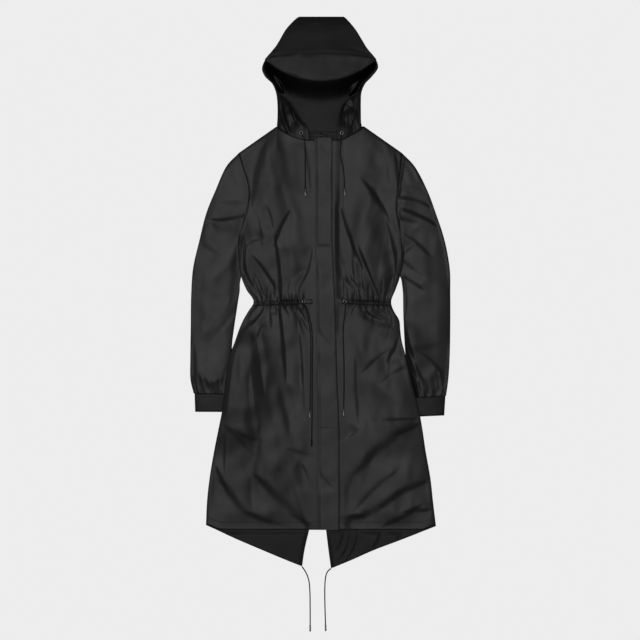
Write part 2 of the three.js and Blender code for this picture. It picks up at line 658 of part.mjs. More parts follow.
function loopGeometry() {
  const outer = [LOOP.y, LOOP.y - LOOP.width].map((y) => {
    const row = [];
    for (let column = 0; column <= LOOP.columns; column += 1) {
      const share = column / LOOP.columns;
      row.push([lerp(LOOP.left, LOOP.right, share), y, LOOP.foot + LOOP.rise * Math.sin(Math.PI * share)]);
    }
    return row;
  });
  return wallGeometry(outer, below(outer, LOOP.cloth), false);
}

// Highest point of a piece over a small round spot
function topOver(mesh, x, y, radius) {
  const caster = new THREE.Raycaster();
  const down = new THREE.Vector3(0, 0, -1);
  let top = 0;
  for (let turn = 0; turn < 12; turn += 1) {
    const angle = (turn * Math.PI) / 6;
    for (const reach of [0, radius / 2, radius]) {
      const from = new THREE.Vector3(x + reach * Math.cos(angle), y + reach * Math.sin(angle), 200);
      caster.set(from, down);
      const hits = caster.intersectObject(mesh);
      top = hits.length ? Math.max(top, hits[0].point.z) : top;
    }
  }
  return top;
}

// Eyelet: a metal ring turned about its hole
function eyeletGeometry() {
  const { radius, hole, height } = EYELET;
  const profile = [[hole, 0], [radius, 0], [radius - 0.4, height * 0.6], [radius - 1.4, height],
    [hole + 0.4, height * 0.8], [hole, 0]];
  const geometry = new THREE.LatheGeometry(profile.map(([r, z]) => new THREE.Vector2(r, z)), 12);
  geometry.rotateX(Math.PI / 2);
  return geometry;
}

// Cord: a round section carried along its route
function cordGeometry(route, radius, sides, step) {
  const path = new THREE.CatmullRomCurve3(route.map((point) => new THREE.Vector3(...point)));
  const section = new THREE.Shape();
  for (let side = 0; side < sides; side += 1) {
    const angle = ((side + 0.5) * 2 * Math.PI) / sides;
    const place = [radius * Math.cos(angle), radius * Math.sin(angle)];
    if (side === 0) {
      section.moveTo(...place);
    } else {
      section.lineTo(...place);
    }
  }
  section.closePath();
  const steps = Math.max(1, Math.round(path.getLength() / step));
  return new THREE.ExtrudeGeometry(section, { steps, bevelEnabled: false, extrudePath: path });
}

// Free cords, point by point from where each comes out, and the direction that its tip goes on in
const CORDS = {
  hood_cord_left: {
    tip: 'hood_tip_left',
    route: [[-48, 399, 12.8], [-47.8, 398.2, 16.2], [-45.3, 393.5, 18.6], [-41.5, 387, 15.8], [-39, 378, 11],
      [-38.3, 366, 9.4], [-38, 340, 9.4], [-37.8, 300, 9.5], [-37.5, 258, 9.6]],
  },
  hood_cord_right: {
    tip: 'hood_tip_right',
    route: [[54, 399, 13.6], [53.9, 398.2, 17], [53.4, 393.3, 19.4], [52.5, 386, 16], [51.6, 377, 11],
      [50.8, 364, 9.4], [50.4, 344, 9.4], [53.4, 326, 9.4], [57, 312, 9.4], [59.3, 290, 9.5], [61, 259, 9.6]],
  },
  waist_cord_left: {
    tip: 'waist_tip_left',
    route: [[-41, -22, 11], [-41, -22.6, 14.4], [-40, -27.4, 16.4], [-38, -34, 14], [-35.5, -42, 10.6],
      [-31.5, -62, 9.6], [-26.5, -88, 9.6], [-24, -114, 9.6], [-24, -150, 9.6], [-24.4, -210, 9.6], [-26, -296, 9.6]],
  },
  waist_cord_second: {
    tip: 'waist_tip_second',
    route: [[-37.2, -31.5, 9.8], [-32.6, -42, 9.6], [-27.2, -61, 9.6], [-22, -87, 9.6], [-19.6, -114, 9.6],
      [-19.6, -150, 9.6], [-20, -210, 9.6], [-20.6, -296, 9.6], [-21.5, -366, 9.6]],
  },
  waist_cord_right: {
    tip: 'waist_tip_right',
    route: [[61, -22, 9.8], [61.1, -22.6, 13.2], [62, -27.6, 15.2], [62.6, -34, 13], [62, -42, 10.2], [60, -62, 9.4],
      [57.4, -88, 9.4], [57, -112, 9.4], [58.6, -160, 9.4], [59.4, -210, 9.4], [58.4, -292, 9.6]],
  },
  tail_cord_left: {
    tip: 'tail_tip_left',
    route: [[-45.6, -684.9, 1.6], [-41.4, -691, 1.6], [-37, -698, 1.6], [-31.5, -710, 1.6], [-28, -724, 1.6],
      [-26, -748, 1.6], [-25.4, -790, 1.6], [-25.3, -830, 1.6]],
  },
  tail_cord_right: {
    tip: 'tail_tip_right',
    route: [[26.7, -689.8, 1.6], [21.5, -694, 1.6], [17, -699.5, 1.6], [13.4, -711, 1.6], [11.6, -730, 1.6],
      [11.2, -750, 1.6], [11.8, -790, 1.6], [13, -829, 1.6]],
  },
};

// Body
const frontLeft = frontPoints('left');
const frontRight = frontPoints('right');
addCloth('back_left', wallGeometry(backPoints('left'), below(backPoints('left'), CLOTH), false));
addCloth('back_right', wallGeometry(backPoints('right'), below(backPoints('right'), CLOTH), false));
addCloth('front_left', wallGeometry(frontLeft, below(frontLeft, CLOTH), false));
addCloth('front_right', wallGeometry(frontRight, below(frontRight, CLOTH), false));
addCloth('front_flap', flapGeometry(FLAP_TOP, FLAP_SEAM, 14));
addCloth('front_flap_lower', flapGeometry(FLAP_SEAM - LAYER_GAP, FRONT_HEM, 5));
const carriers = {
  waist_tunnel_left: addCloth('waist_tunnel_left', tunnelGeometry(frontLeft)),
  waist_tunnel_right: addCloth('waist_tunnel_right', tunnelGeometry(frontRight)),
};

// Sleeves
for (const side of ['left', 'right']) {
  addCloth(`sleeve_${side}`, sleeveGeometry(side));
  addCloth(`cuff_${side}`, cuffGeometry(side));
}

// Hood
addCloth('hood_centre', hoodStripGeometry());
carriers.hood_side_left = addCloth('hood_side_left', hoodSideGeometry('left'));
carriers.hood_side_right = addCloth('hood_side_right', hoodSideGeometry('right'));
addCloth('hood_brim', brimGeometry());
addCloth('hanger_loop', loopGeometry());

// Eyelets, cords and their tips
for (const [name, { x, y, on }] of Object.entries(EYELETS)) {
  const eyelet = addPiece(name, eyeletGeometry(), 0xb9bbbe, 0.25, 1);
  eyelet.position.set(x, y, topOver(carriers[on], x, y, EYELET.radius) + LAYER_GAP);
}
for (const [name, { tip, route }] of Object.entries(CORDS)) {
  addPiece(name, cordGeometry(route, CORD_RADIUS, CORD_SIDES, CORD_STEP), 0x151515, 0.8, 0);
  const end = new THREE.Vector3(...route[route.length - 1]);
  const heading = end.clone().sub(new THREE.Vector3(...route[route.length - 2])).normalize();
  const start = end.clone().addScaledVector(heading, LAYER_GAP);
  const finish = end.clone().addScaledVector(heading, LAYER_GAP + TIP_LENGTH);
  start.z = Math.max(start.z, TIP_RADIUS + 0.1);
  finish.z = start.z;
  const tipRoute = [start.toArray(), finish.toArray()];
  addPiece(tip, cordGeometry(tipRoute, TIP_RADIUS, TIP_SIDES, TIP_LENGTH), 0x8e9093, 0.3, 1);
}

export default group;
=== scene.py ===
"""A hooded parka laid flat on its back, front facing up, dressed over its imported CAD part.
Tables hold millimetres in the part's own frame, hood toward +Y, and MM turns them into metres. Those of
the cameras, lights and cords hold metres."""

import bpy
import numpy as np
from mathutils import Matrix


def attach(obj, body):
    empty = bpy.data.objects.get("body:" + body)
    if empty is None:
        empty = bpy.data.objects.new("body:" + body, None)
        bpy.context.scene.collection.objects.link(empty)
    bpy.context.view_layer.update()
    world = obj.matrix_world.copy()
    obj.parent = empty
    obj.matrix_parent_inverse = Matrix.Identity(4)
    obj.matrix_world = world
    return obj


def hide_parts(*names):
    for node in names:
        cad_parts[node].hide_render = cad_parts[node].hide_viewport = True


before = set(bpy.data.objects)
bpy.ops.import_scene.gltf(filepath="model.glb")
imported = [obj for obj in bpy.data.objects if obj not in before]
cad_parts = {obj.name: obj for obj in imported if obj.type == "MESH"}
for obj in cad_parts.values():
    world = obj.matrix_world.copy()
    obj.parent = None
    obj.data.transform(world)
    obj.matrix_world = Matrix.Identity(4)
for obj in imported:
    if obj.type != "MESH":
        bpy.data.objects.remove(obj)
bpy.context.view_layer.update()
scene = bpy.context.scene
MM = 0.001


# Camera, floor and light: the coat lies on a pale sheet and is seen from straight above.
# One wide soft light hangs over it, so level cloth catches the light and slopes turn dark.
VIEW_WIDTH = 1.6
VIEW_X, VIEW_Y = -0.00075, -0.06825
LENS, SENSOR = 300, 36
FLOOR_COLOUR = (0.847, 0.847, 0.847, 1)

camera_data = bpy.data.cameras.new("camera")
camera_data.lens = LENS
camera_data.sensor_width = SENSOR
camera_data.clip_end = 80
camera = bpy.data.objects.new("camera", camera_data)
camera.location = (VIEW_X, VIEW_Y, VIEW_WIDTH * LENS / SENSOR + 7 * MM)
scene.collection.objects.link(camera)
scene.camera = camera
scene.view_settings.view_transform = "Standard"

floor_mesh = bpy.data.meshes.new("floor")
floor_mesh.from_pydata([(-30, -30, 0), (30, -30, 0), (30, 30, 0), (-30, 30, 0)], [], [(0, 1, 2, 3)])
floor = bpy.data.objects.new("floor", floor_mesh)
scene.collection.objects.link(floor)
floor_material = bpy.data.materials.new("pale floor")
floor_material.use_nodes = True
floor_material.node_tree.nodes.clear()
glow = floor_material.node_tree.nodes.new("ShaderNodeEmission")
glow.inputs["Color"].default_value = FLOOR_COLOUR
floor_output = floor_material.node_tree.nodes.new("ShaderNodeOutputMaterial")
floor_material.node_tree.links.new(glow.outputs[0], floor_output.inputs["Surface"])
floor_mesh.materials.append(floor_material)
floor.visible_diffuse = False
floor.visible_glossy = False

world = bpy.data.worlds.new("studio")
scene.world = world
world.use_nodes = True
world.node_tree.nodes.clear()
room_light = world.node_tree.nodes.new("ShaderNodeBackground")
room_light.inputs["Color"].default_value = (0.08, 0.08, 0.08, 1)
room_seen = world.node_tree.nodes.new("ShaderNodeBackground")
room_seen.inputs["Color"].default_value = FLOOR_COLOUR
ray = world.node_tree.nodes.new("ShaderNodeLightPath")
room_mix = world.node_tree.nodes.new("ShaderNodeMixShader")
room_output = world.node_tree.nodes.new("ShaderNodeOutputWorld")
world.node_tree.links.new(ray.outputs["Is Camera Ray"], room_mix.inputs[0])
world.node_tree.links.new(room_light.outputs[0], room_mix.inputs[1])
world.node_tree.links.new(room_seen.outputs[0], room_mix.inputs[2])
world.node_tree.links.new(room_mix.outputs[0], room_output.inputs["Surface"])

# Each light: its place, width, length and power; each faces the middle of the coat
LIGHTS = {
    "overhead softbox": ((-0.6, 0.5, 6.5), 2.6, 2.9, 68.0),
    "left fill": ((-2.6, 0.8, 1.9), 1.2, 1.6, 4.0),
    "right fill": ((2.6, -0.4, 2.0), 1.0, 1.6, 2.0),
}
for light_name, (place, width, length, power) in LIGHTS.items():
    light_data = bpy.data.lights.new(light_name, "AREA")
    light_data.shape = "RECTANGLE"
    light_data.size = width
    light_data.size_y = length
    light_data.energy = power
    light = bpy.data.objects.new(light_name, light_data)
    light.location = place
    light.rotation_mode = "QUATERNION"
    light.rotation_quaternion = (-light.location).to_track_quat("-Z", "Y")
    light.visible_camera = False
    scene.collection.objects.link(light)


# Drawcords: round braided polyester, 3 mm, in the casings of hood, waist and vent tails.
# Only their free ends show. Each comes out of an eyelet or a tail corner and ends in a metal tip.
class Socket:
    """An output of a node in a material. Arithmetic on it adds a Math node, `to` adds any other."""

    def __init__(self, tree, output):
        self.tree = tree
        self.output = output

    def feed(self, slot, value):
        if isinstance(value, Socket):
            self.tree.links.new(value.output, slot)
        else:
            slot.default_value = value

    def to(self, kind, result=0, inputs=(), **settings):
        node = self.tree.nodes.new(kind)
        for key, value in settings.items():
            setattr(node, key, value)
        for key, value in dict(inputs).items():
            self.feed(node.inputs[key], value)
        return Socket(self.tree, node.outputs[result])

    def math(self, operation, other=0.0):
        return self.to("ShaderNodeMath", inputs={0: self, 1: other}, operation=operation)

    def __add__(self, other):
        return self.math("ADD", other)

    def __sub__(self, other):
        return self.math("SUBTRACT", other)

    def __mul__(self, other):
        return self.math("MULTIPLY", other)

    def __truediv__(self, other):
        return self.math("DIVIDE", other)

    def __lt__(self, other):
        return self.math("LESS_THAN", other)

    def __rsub__(self, other):
        return self * -1 + other

    __radd__ = __add__
    __rmul__ = __mul__

    def noise(self, scale, detail=2.0, roughness=0.5):
        place = {"Vector": self, "Scale": scale, "Detail": detail, "Roughness": roughness}
        return self.to("ShaderNodeTexNoise", inputs=place)


def new_finish(name, colour, roughness, **constants):
    """A material with a Principled surface: (material, its shader node, its object coordinates)."""
    material = bpy.data.materials.new(name)
    material.use_nodes = True
    tree = material.node_tree
    shader = tree.nodes["Principled BSDF"]
    shader.inputs["Base Color"].default_value = (*colour, 1)
    shader.inputs["Roughness"].default_value = roughness
    for key, value in constants.items():
        shader.inputs[key.replace("_", " ")].default_value = value
    coordinates = tree.nodes.new("ShaderNodeTexCoord")
    return material, shader, Socket(tree, coordinates.outputs["Object"])


def shade(shader, place, grey, tint):
    """Drives the shader's colour with a grey value, times a tint."""
    mix = place.to("ShaderNodeCombineColor", inputs={
        "Red": grey * tint[0], "Green": grey * tint[1], "Blue": grey * tint[2]})
    place.feed(shader.inputs["Base Color"], mix)


def rough(shader, place, height, distance, strength=1.0):
    """Gives the shader a bump of that height value, 1 standing for `distance` metres."""
    inputs = {"Height": height, "Distance": distance, "Strength": strength}
    place.feed(shader.inputs["Normal"], place.to("ShaderNodeBump", inputs=inputs))


def add_mesh(name, points, faces, finishes, finish_of_face=None):
    """A smooth mesh piece in the row frame, in metres, riding on the coat."""
    mesh = bpy.data.meshes.new(name)
    mesh.from_pydata(points, [], faces)
    for finish in finishes:
        mesh.materials.append(finish)
    if finish_of_face is not None:
        mesh.polygons.foreach_set("material_index", finish_of_face)
    mesh.polygons.foreach_set("use_smooth", np.ones(len(mesh.polygons), bool))
    piece = bpy.data.objects.new(name, mesh)
    scene.collection.objects.link(piece)
    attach(piece, "root")
    return piece


def through(points, places):
    """A smooth curve through the points, read at places counted in points from the first. Each stretch is a
    cubic whose end slopes weigh the neighbouring stretches by the square roots of their lengths."""
    points = np.asarray(points, float)
    points = np.vstack([2 * points[0] - points[1], points, 2 * points[-1] - points[-2]])
    gap = np.sqrt(np.maximum(np.linalg.norm(np.diff(points, axis=0), axis=1), 1e-9))[:, None]
    step = np.diff(points, axis=0) / gap
    slope = step[:-1] + step[1:] - (points[2:] - points[:-2]) / (gap[:-1] + gap[1:])
    places = np.clip(places, 0, len(slope) - 1)
    at = np.minimum(places.astype(int), len(slope) - 2)
    t = (places - at)[:, None]
    start, end, width = points[1:][at], points[2:][at], gap[1:][at]
    return (start * (1 + 2 * t) * (1 - t) ** 2 + end * t * t * (3 - 2 * t)
            + slope[at] * width * t * (1 - t) ** 2 - slope[at + 1] * width * t * t * (1 - t))


def rings_along(line, radii, sides):
    """Rings of points round a line of points, one ring a point, carried along without twisting."""
    heading = np.gradient(line, axis=0)
    heading /= np.linalg.norm(heading, axis=1, keepdims=True)
    side = np.cross(heading[0], (0.0, 0.0, 1.0))
    if np.linalg.norm(side) < 1e-6:
        side = np.array((1.0, 0.0, 0.0))
    turn = np.arange(sides) * 2 * np.pi / sides
    rings = []
    for point, forward, radius in zip(line, heading, radii):
        side = side - forward * (side @ forward)
        side /= np.linalg.norm(side)
        up = np.cross(side, forward)
        rings.append(point + radius * (np.cos(turn)[:, None] * side + np.sin(turn)[:, None] * up))
    return np.array(rings)


def add_rod(name, line, radii, sides, finish):
    """A closed round rod along a line, of one radius a point, with a map of turn and length."""
    rings = rings_along(line, radii, sides)
    count = len(rings)
    index = np.arange(count * sides).reshape(count, sides)
    ahead = np.roll(index, -1, axis=1)
    walls = np.stack([index[:-1], ahead[:-1], ahead[1:], index[1:]], axis=-1).reshape(-1, 4).tolist()
    faces = [index[0][::-1].tolist(), *walls, index[-1].tolist()]
    piece = add_mesh(name, rings.reshape(-1, 3), faces, [finish])
    run = np.concatenate([[0], np.cumsum(np.linalg.norm(np.diff(line, axis=0), axis=1))])
    map_of_points = np.zeros((count, sides, 2))
    map_of_points[..., 0] = np.arange(sides) / sides
    map_of_points[..., 1] = run[:, None]
    loops = np.zeros(len(piece.data.loops), int)
    piece.data.loops.foreach_get("vertex_index", loops)
    corner = map_of_points.reshape(-1, 2)[loops]
    starts = np.zeros(len(piece.data.polygons), int)
    piece.data.polygons.foreach_get("loop_start", starts)
    for start in starts[1:-1]:
        if corner[start, 0] > 0.5 > corner[start + 1, 0]:
            corner[start + 1:start + 3, 0] += 1
    layer = piece.data.uv_layers.new(name="along")
    layer.uv.foreach_set("vector", corner.ravel())
    return piece


def new_cord_finish():
    """Matt black braid: two sets of strands wind round the cord, one each way."""
    material, shader, place = new_finish("braided cord", (0.012, 0.012, 0.013), 0.75)
    shader.inputs["Sheen Weight"].default_value = 0.15
    along = place.to("ShaderNodeUVMap", uv_map="along")
    parts = place.tree.nodes.new("ShaderNodeSeparateXYZ")
    place.tree.links.new(along.output, parts.inputs[0])
    turn, run = Socket(place.tree, parts.outputs[0]), Socket(place.tree, parts.outputs[1])
    one_way = ((turn * 6 + run / 0.004) * (2 * np.pi)).math("SINE")
    other_way = ((turn * 6 - run / 0.004) * (2 * np.pi)).math("SINE")
    braid = one_way * other_way
    rough(shader, place, braid, 0.00025)
    shade(shader, place, braid * 0.004 + place.noise(260.0) * 0.01 + 0.006, (1.0, 1.0, 1.04))
    return material


def new_metal_finish(name, colour, roughness, ring):
    """Metal with fine turning marks round its axis and light handling scuffs."""
    material, shader, place = new_finish(name, colour, roughness, Metallic=1.0)
    scuff = place.noise(900.0, 3.0)
    place.feed(shader.inputs["Roughness"], scuff * 0.22 + (roughness - 0.11))
    rough(shader, place, place.noise(ring, 1.0), 0.00003)
    shade(shader, place, place.noise(500.0) * 0.2 + 0.9, colour)
    return material


cord_finish = new_cord_finish()
tip_finish = new_metal_finish("nickel tip", (0.33, 0.33, 0.34), 0.36, 2500.0)
dark_tip_finish = new_metal_finish("black lacquered tip", (0.02, 0.02, 0.021), 0.4, 2500.0)

CORD_DIAMETER = 0.003
CORD_SIDES = 12
CORD_STEP = 0.0015
TIP_GAP = 0.0003
TIP_LENGTH = 0.017
TIP_RADIUS = 0.0021
TIP_SIDES = 24
# Tip outline from its mouth: share of its length, share of its radius
TIP_SHAPE = [(0.0, 0.8), (0.02, 0.97), (0.12, 1.0), (0.14, 0.88), (0.19, 0.88), (0.21, 1.0),
             (0.9, 1.0), (0.965, 0.9), (1.0, 0.62)]
# Route points of each cord, from where it comes out to its tip
CORDS = {
    "hood_cord_left": [
        (-0.048, 0.399, 0.0128), (-0.0478, 0.3982, 0.0162), (-0.0453, 0.3935, 0.0186),
        (-0.0415, 0.387, 0.0158), (-0.039, 0.378, 0.011), (-0.0383, 0.366, 0.0094), (-0.038, 0.34, 0.0094),
        (-0.0378, 0.3, 0.0095), (-0.0375, 0.258, 0.0096)],
    "hood_cord_right": [
        (0.054, 0.399, 0.0136), (0.0539, 0.3982, 0.017), (0.0534, 0.3933, 0.0194), (0.0525, 0.386, 0.016),
        (0.0516, 0.377, 0.011), (0.0508, 0.364, 0.0094), (0.0504, 0.344, 0.0094), (0.0534, 0.326, 0.0094),
        (0.057, 0.312, 0.0094), (0.0593, 0.29, 0.0095), (0.061, 0.259, 0.0096)],
    "waist_cord_left": [
        (-0.041, -0.022, 0.011), (-0.041, -0.0226, 0.0144), (-0.04, -0.0274, 0.0164),
        (-0.038, -0.034, 0.014), (-0.0355, -0.042, 0.0106), (-0.0315, -0.062, 0.0096),
        (-0.0265, -0.088, 0.0096), (-0.024, -0.114, 0.0096), (-0.024, -0.15, 0.0096),
        (-0.0244, -0.21, 0.0096), (-0.026, -0.296, 0.0096)],
    "waist_cord_second": [
        (-0.0372, -0.0315, 0.0098), (-0.0326, -0.042, 0.0096), (-0.0272, -0.061, 0.0096),
        (-0.022, -0.087, 0.0096), (-0.0196, -0.114, 0.0096), (-0.0196, -0.15, 0.0096),
        (-0.02, -0.21, 0.0096), (-0.0206, -0.296, 0.0096), (-0.0215, -0.366, 0.0096)],
    "waist_cord_right": [
        (0.061, -0.022, 0.0098), (0.0611, -0.0226, 0.0132), (0.062, -0.0276, 0.0152),
        (0.0626, -0.034, 0.013), (0.062, -0.042, 0.0102), (0.06, -0.062, 0.0094), (0.0574, -0.088, 0.0094),
        (0.057, -0.112, 0.0094), (0.0586, -0.16, 0.0094), (0.0594, -0.21, 0.0094),
        (0.0584, -0.292, 0.0096)],
    "tail_cord_left": [
        (-0.0456, -0.6849, 0.0016), (-0.0414, -0.691, 0.0016), (-0.037, -0.698, 0.0016),
        (-0.0315, -0.71, 0.0016), (-0.028, -0.724, 0.0016), (-0.026, -0.748, 0.0016),
        (-0.0254, -0.79, 0.0016), (-0.0253, -0.83, 0.0016)],
    "tail_cord_right": [
        (0.0267, -0.6898, 0.0016), (0.0215, -0.694, 0.0016), (0.017, -0.6995, 0.0016),
        (0.0134, -0.711, 0.0016), (0.0116, -0.73, 0.0016), (0.0112, -0.75, 0.0016), (0.0118, -0.79, 0.0016),
        (0.013, -0.829, 0.0016)],
}
for cord_name, route in CORDS.items():
    route = np.array(route)
    length = np.linalg.norm(np.diff(route, axis=0), axis=1).sum()
    line = through(route, np.linspace(0, len(route) - 1, int(length / CORD_STEP)))
    cord_radii = np.full(len(line), CORD_DIAMETER / 2)
    cord = add_rod(cord_name.replace("_", "-"), line, cord_radii, CORD_SIDES, cord_finish)
    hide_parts(cord_name)
    tip_name = cord_name.replace("cord", "tip")
    heading = route[-1] - route[-2]
    heading[2] = 0
    heading /= np.linalg.norm(heading)
    mouth = route[-1] + heading * TIP_GAP
    mouth[2] = max(mouth[2], TIP_RADIUS + 0.1 * MM)
    tip_line = np.array([mouth + heading * TIP_LENGTH * share for share, _ in TIP_SHAPE])
    tip_radii = [TIP_RADIUS * share for _, share in TIP_SHAPE]
    finish = dark_tip_finish if "second" in tip_name else tip_finish
    tip = add_rod(tip_name.replace("_", "-"), tip_line, tip_radii, TIP_SIDES, finish)
    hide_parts(tip_name)


# Back: two halves of coated cloth, face down, sewn at the centre down to the vent's top.
# Each ends in a tail that shows its backing below the front hem. The skirt sides lie on the sleeves.
def ease(start, end, value):
    """Smooth step: 0 up to start, 1 from end on, 3 t^2 - 2 t^3 between."""
    t = np.clip((value - start) / (end - start), 0, 1)
    return t * t * (3 - 2 * t)


def read(table, at):
    """Columns of a table at places between its rows, the first column being the place: a cubic through the
    rows, whose slope at each row is its neighbours' mean slope weighed by nearness."""
    rows = np.array(table, float)
    rows = rows[np.argsort(rows[:, 0])]
    place, values = rows[:, 0], rows[:, 1:]
    gap = np.diff(place)[:, None]
    step = np.diff(values, axis=0) / gap
    inner = (step[:-1] * gap[1:] + step[1:] * gap[:-1]) / (gap[1:] + gap[:-1])
    slope = np.vstack([step[:1], inner, step[-1:]])
    at = np.clip(at, place[0], place[-1])
    row = np.clip(np.searchsorted(place, at) - 1, 0, len(gap) - 1)
    t = ((at - place[row]) / gap[row, 0])[..., None]
    cubic = (values[row] * (1 + 2 * t) * (1 - t) ** 2 + values[row + 1] * t * t * (3 - 2 * t)
             + gap[row] * (slope[row] * t * (1 - t) ** 2 - slope[row + 1] * t * t * (1 - t)))
    return np.moveaxis(cubic, -1, 0)


def creases(rows, x, y):
    """Height of soft creases. Each row is a line bowed sideways toward +X. The cloth falls there by the row's
    depth times exp(-(d / w)^2): w is the row's width on the steep side, and five widths, or 24 mm and one and
    a half widths if that is less, on the slow one. The slow side is on the right of the line's travel, or on
    its left where the width is negative. Depth and widths follow a smooth step of half a sine along the line,
    from a little before its start to a little past its end."""
    height = np.zeros(np.shape(x))
    for x0, y0, x1, y1, bow, width, depth in rows:
        length = np.hypot(x1 - x0, y1 - y0)
        along_x, along_y = (x1 - x0) / length, (y1 - y0) / length
        along = (x - x0) * along_x + (y - y0) * along_y
        d = (x - x0) * along_y - (y - y0) * along_x
        t = np.clip(along / length, 0, 1)
        d = (d - bow * 4 * t * (1 - t) * (np.sign(along_y) or 1)) * np.sign(width)
        width = abs(width)
        reach = min(3.5 * width, 8 + 1.8 * width)
        share = np.clip((along + reach) / (length + 2 * reach), 0, 1)
        full = ease(0, 1, np.sin(np.pi * share))
        slow = min(5 * width, 24 + 1.5 * width)
        past = d - 0.7 * width * full
        spread = (0.2 + 0.8 * full) * np.where(past < 0, width, slow)
        height -= depth * full * np.exp(-(past / spread) ** 2)
    return height


def ripple(x, y, size, seed):
    """Gentle unevenness from -1 to 1 with hills about `size` apart: sines in eight seeded directions."""
    draw = np.random.default_rng(seed)
    total = np.zeros(np.shape(x))
    angles, phases, stretches = draw.uniform(0, np.pi, 8), draw.uniform(0, 6.28, 8), draw.uniform(0.7, 1.6, 8)
    for angle, phase, stretch in zip(angles, phases, stretches):
        total += np.sin((x * np.cos(angle) + y * np.sin(angle)) * 2 * np.pi / (size * stretch) + phase)
    return total / 4


# Distance from stitches of a point that has none near it
NO_STITCH = 9000


def wall(name, outer, inner, finishes, ring=False, seam=None):
    """A closed wall of cloth between two matching grids in millimetres, given as points (rows, columns, 3):
    outer faces, inner faces and strips along open edges. A ring's last column joins its first. The seam
    grids hold each outer point's distance from a stitched edge and its place along it. Inner points are
    given as far from any stitches."""
    rows, columns = outer.shape[:2]
    index = np.arange(rows * columns).reshape(rows, columns)
    if ring:
        index = np.hstack([index, index[:, :1]])
    top = np.stack([index[:-1, :-1], index[:-1, 1:], index[1:, 1:], index[1:, :-1]], axis=-1).reshape(-1, 4)
    under = rows * columns
    strips = []
    for edge in [index[0], index[-1, ::-1]] + ([] if ring else [index[::-1, 0], index[:, -1]]):
        start, end = edge[:-1], edge[1:]
        strips.append(np.stack([end, start, start + under, end + under], axis=-1))
    faces = np.concatenate([top, top[:, ::-1] + under, *strips])
    finish_of_face = np.zeros(len(faces), int)
    finish_of_face[len(top):2 * len(top)] = len(finishes) - 1
    points = np.concatenate([outer.reshape(-1, 3), inner.reshape(-1, 3)]) * MM
    a, b, c, d = (points[faces[:, corner]] for corner in range(4))
    volume = (a * (np.cross(b, c) + np.cross(c, d))).sum()
    if volume < 0:
        faces = faces[:, ::-1]
    piece = add_mesh(name, points, faces, finishes, finish_of_face)
    if seam is not None:
        for key, grid in zip(("seam", "run"), seam):
            values = np.full((2, rows, columns), NO_STITCH * MM, np.float32)
            values[0] = grid * MM
            layer = piece.data.attributes.new(key, "FLOAT", "POINT")
            layer.data.foreach_set("value", values.ravel())
    return piece


def below(outer, thickness):
    """The inner grid of a sheet: straight down from its outer grid."""
    return outer - np.array((0, 0, thickness))


def new_coated_finish(name, stitch_at, gloss=0.5, matt=0.32):
    """Near-black polyurethane-coated cloth: semi-matt, finely pebbled, with cloudy sheen and, where the
    piece has a seam grid, rows of thread pressed into the coating."""
    material, shader, place = new_finish(name, (0.0138, 0.0139, 0.0143), 0.4, Specular_IOR_Level=gloss)
    cloud = place.noise(11.0, 3.0)
    mottle = place.noise(70.0, 3.0)
    pebble = place.noise(1100.0, 2.0)
    handled = place.noise(190.0, 4.0, 0.6)
    height = pebble * 0.55 + handled * 0.9
    sheen = cloud * 0.12 + mottle * 0.06 + pebble * 0.04 + matt
    grey = cloud * 0.5 + mottle * 0.35 + 0.55
    if stitch_at:
        seam = place.to("ShaderNodeAttribute", "Fac", attribute_name="seam") / MM
        run = place.to("ShaderNodeAttribute", "Fac", attribute_name="run") / MM
        thread = None
        for distance in stitch_at:
            near = (seam - distance).math("ABSOLUTE") < 0.42
            dash = (run / 3.6).math("FRACT") < 0.72
            groove = (seam - distance).math("ABSOLUTE") < 1.1
            row = near * dash * 3 - groove * 1.4
            thread = row if thread is None else thread + row
        height = height + thread
        grey = grey + thread.math("MAXIMUM", 0.0) * 0.25
    rough(shader, place, height, 0.00006)
    place.feed(shader.inputs["Roughness"], sheen)
    shade(shader, place, grey, (0.0136, 0.0137, 0.0141))
    return material


def new_backing_finish(name, matt=0.37, gloss=0.5, tint=0.0167):
    """The cloth's inner side: a dull black woven backing with a fine plain weave."""
    material, shader, place = new_finish(name, (tint, tint, tint), 0.6, Specular_IOR_Level=gloss)
    parts = place.tree.nodes.new("ShaderNodeSeparateXYZ")
    place.tree.links.new(place.output, parts.inputs[0])
    across, along = Socket(place.tree, parts.outputs[0]), Socket(place.tree, parts.outputs[1])
    weave = (across * (2 * np.pi / 0.0011)).math("SINE") * (along * (2 * np.pi / 0.0011)).math("SINE")
    cloud = place.noise(13.0, 3.0)
    fuzz = place.noise(700.0, 3.0)
    rough(shader, place, weave * 0.5 + fuzz, 0.00007)
    place.feed(shader.inputs["Roughness"], cloud * 0.16 + fuzz * 0.1 + matt)
    shade(shader, place, cloud * 0.5 + weave * 0.12 + fuzz * 0.25 + 0.6, (tint, tint, tint * 1.03))
    return material


coated = new_coated_finish("coated cloth", ())
coated_hem = new_coated_finish("coated cloth, stitched", (2.2, 19.0))
coated_edge = new_coated_finish("coated cloth, edge stitched", (2.4,))
backing = new_backing_finish("woven backing")
tail_backing = new_backing_finish("woven backing, tails", 0.4, 0.38)
# The hood's lining is the backing's dull black darkened to about a quarter of its tint: painted shade for the
# hood's dark inside
hood_lining_painted_shade = new_backing_finish("hood lining, darkened as painted shade", 0.3, 0.34, 0.004)
hood_cloth = new_coated_finish("coated cloth, hood", (), 0.42, 0.48)
hood_edge = new_coated_finish("coated cloth, brim", (2.4,), 0.4, 0.36)
cuff_cloth = new_coated_finish("coated cloth, cuffs", (2.4,), 0.3, 0.34)

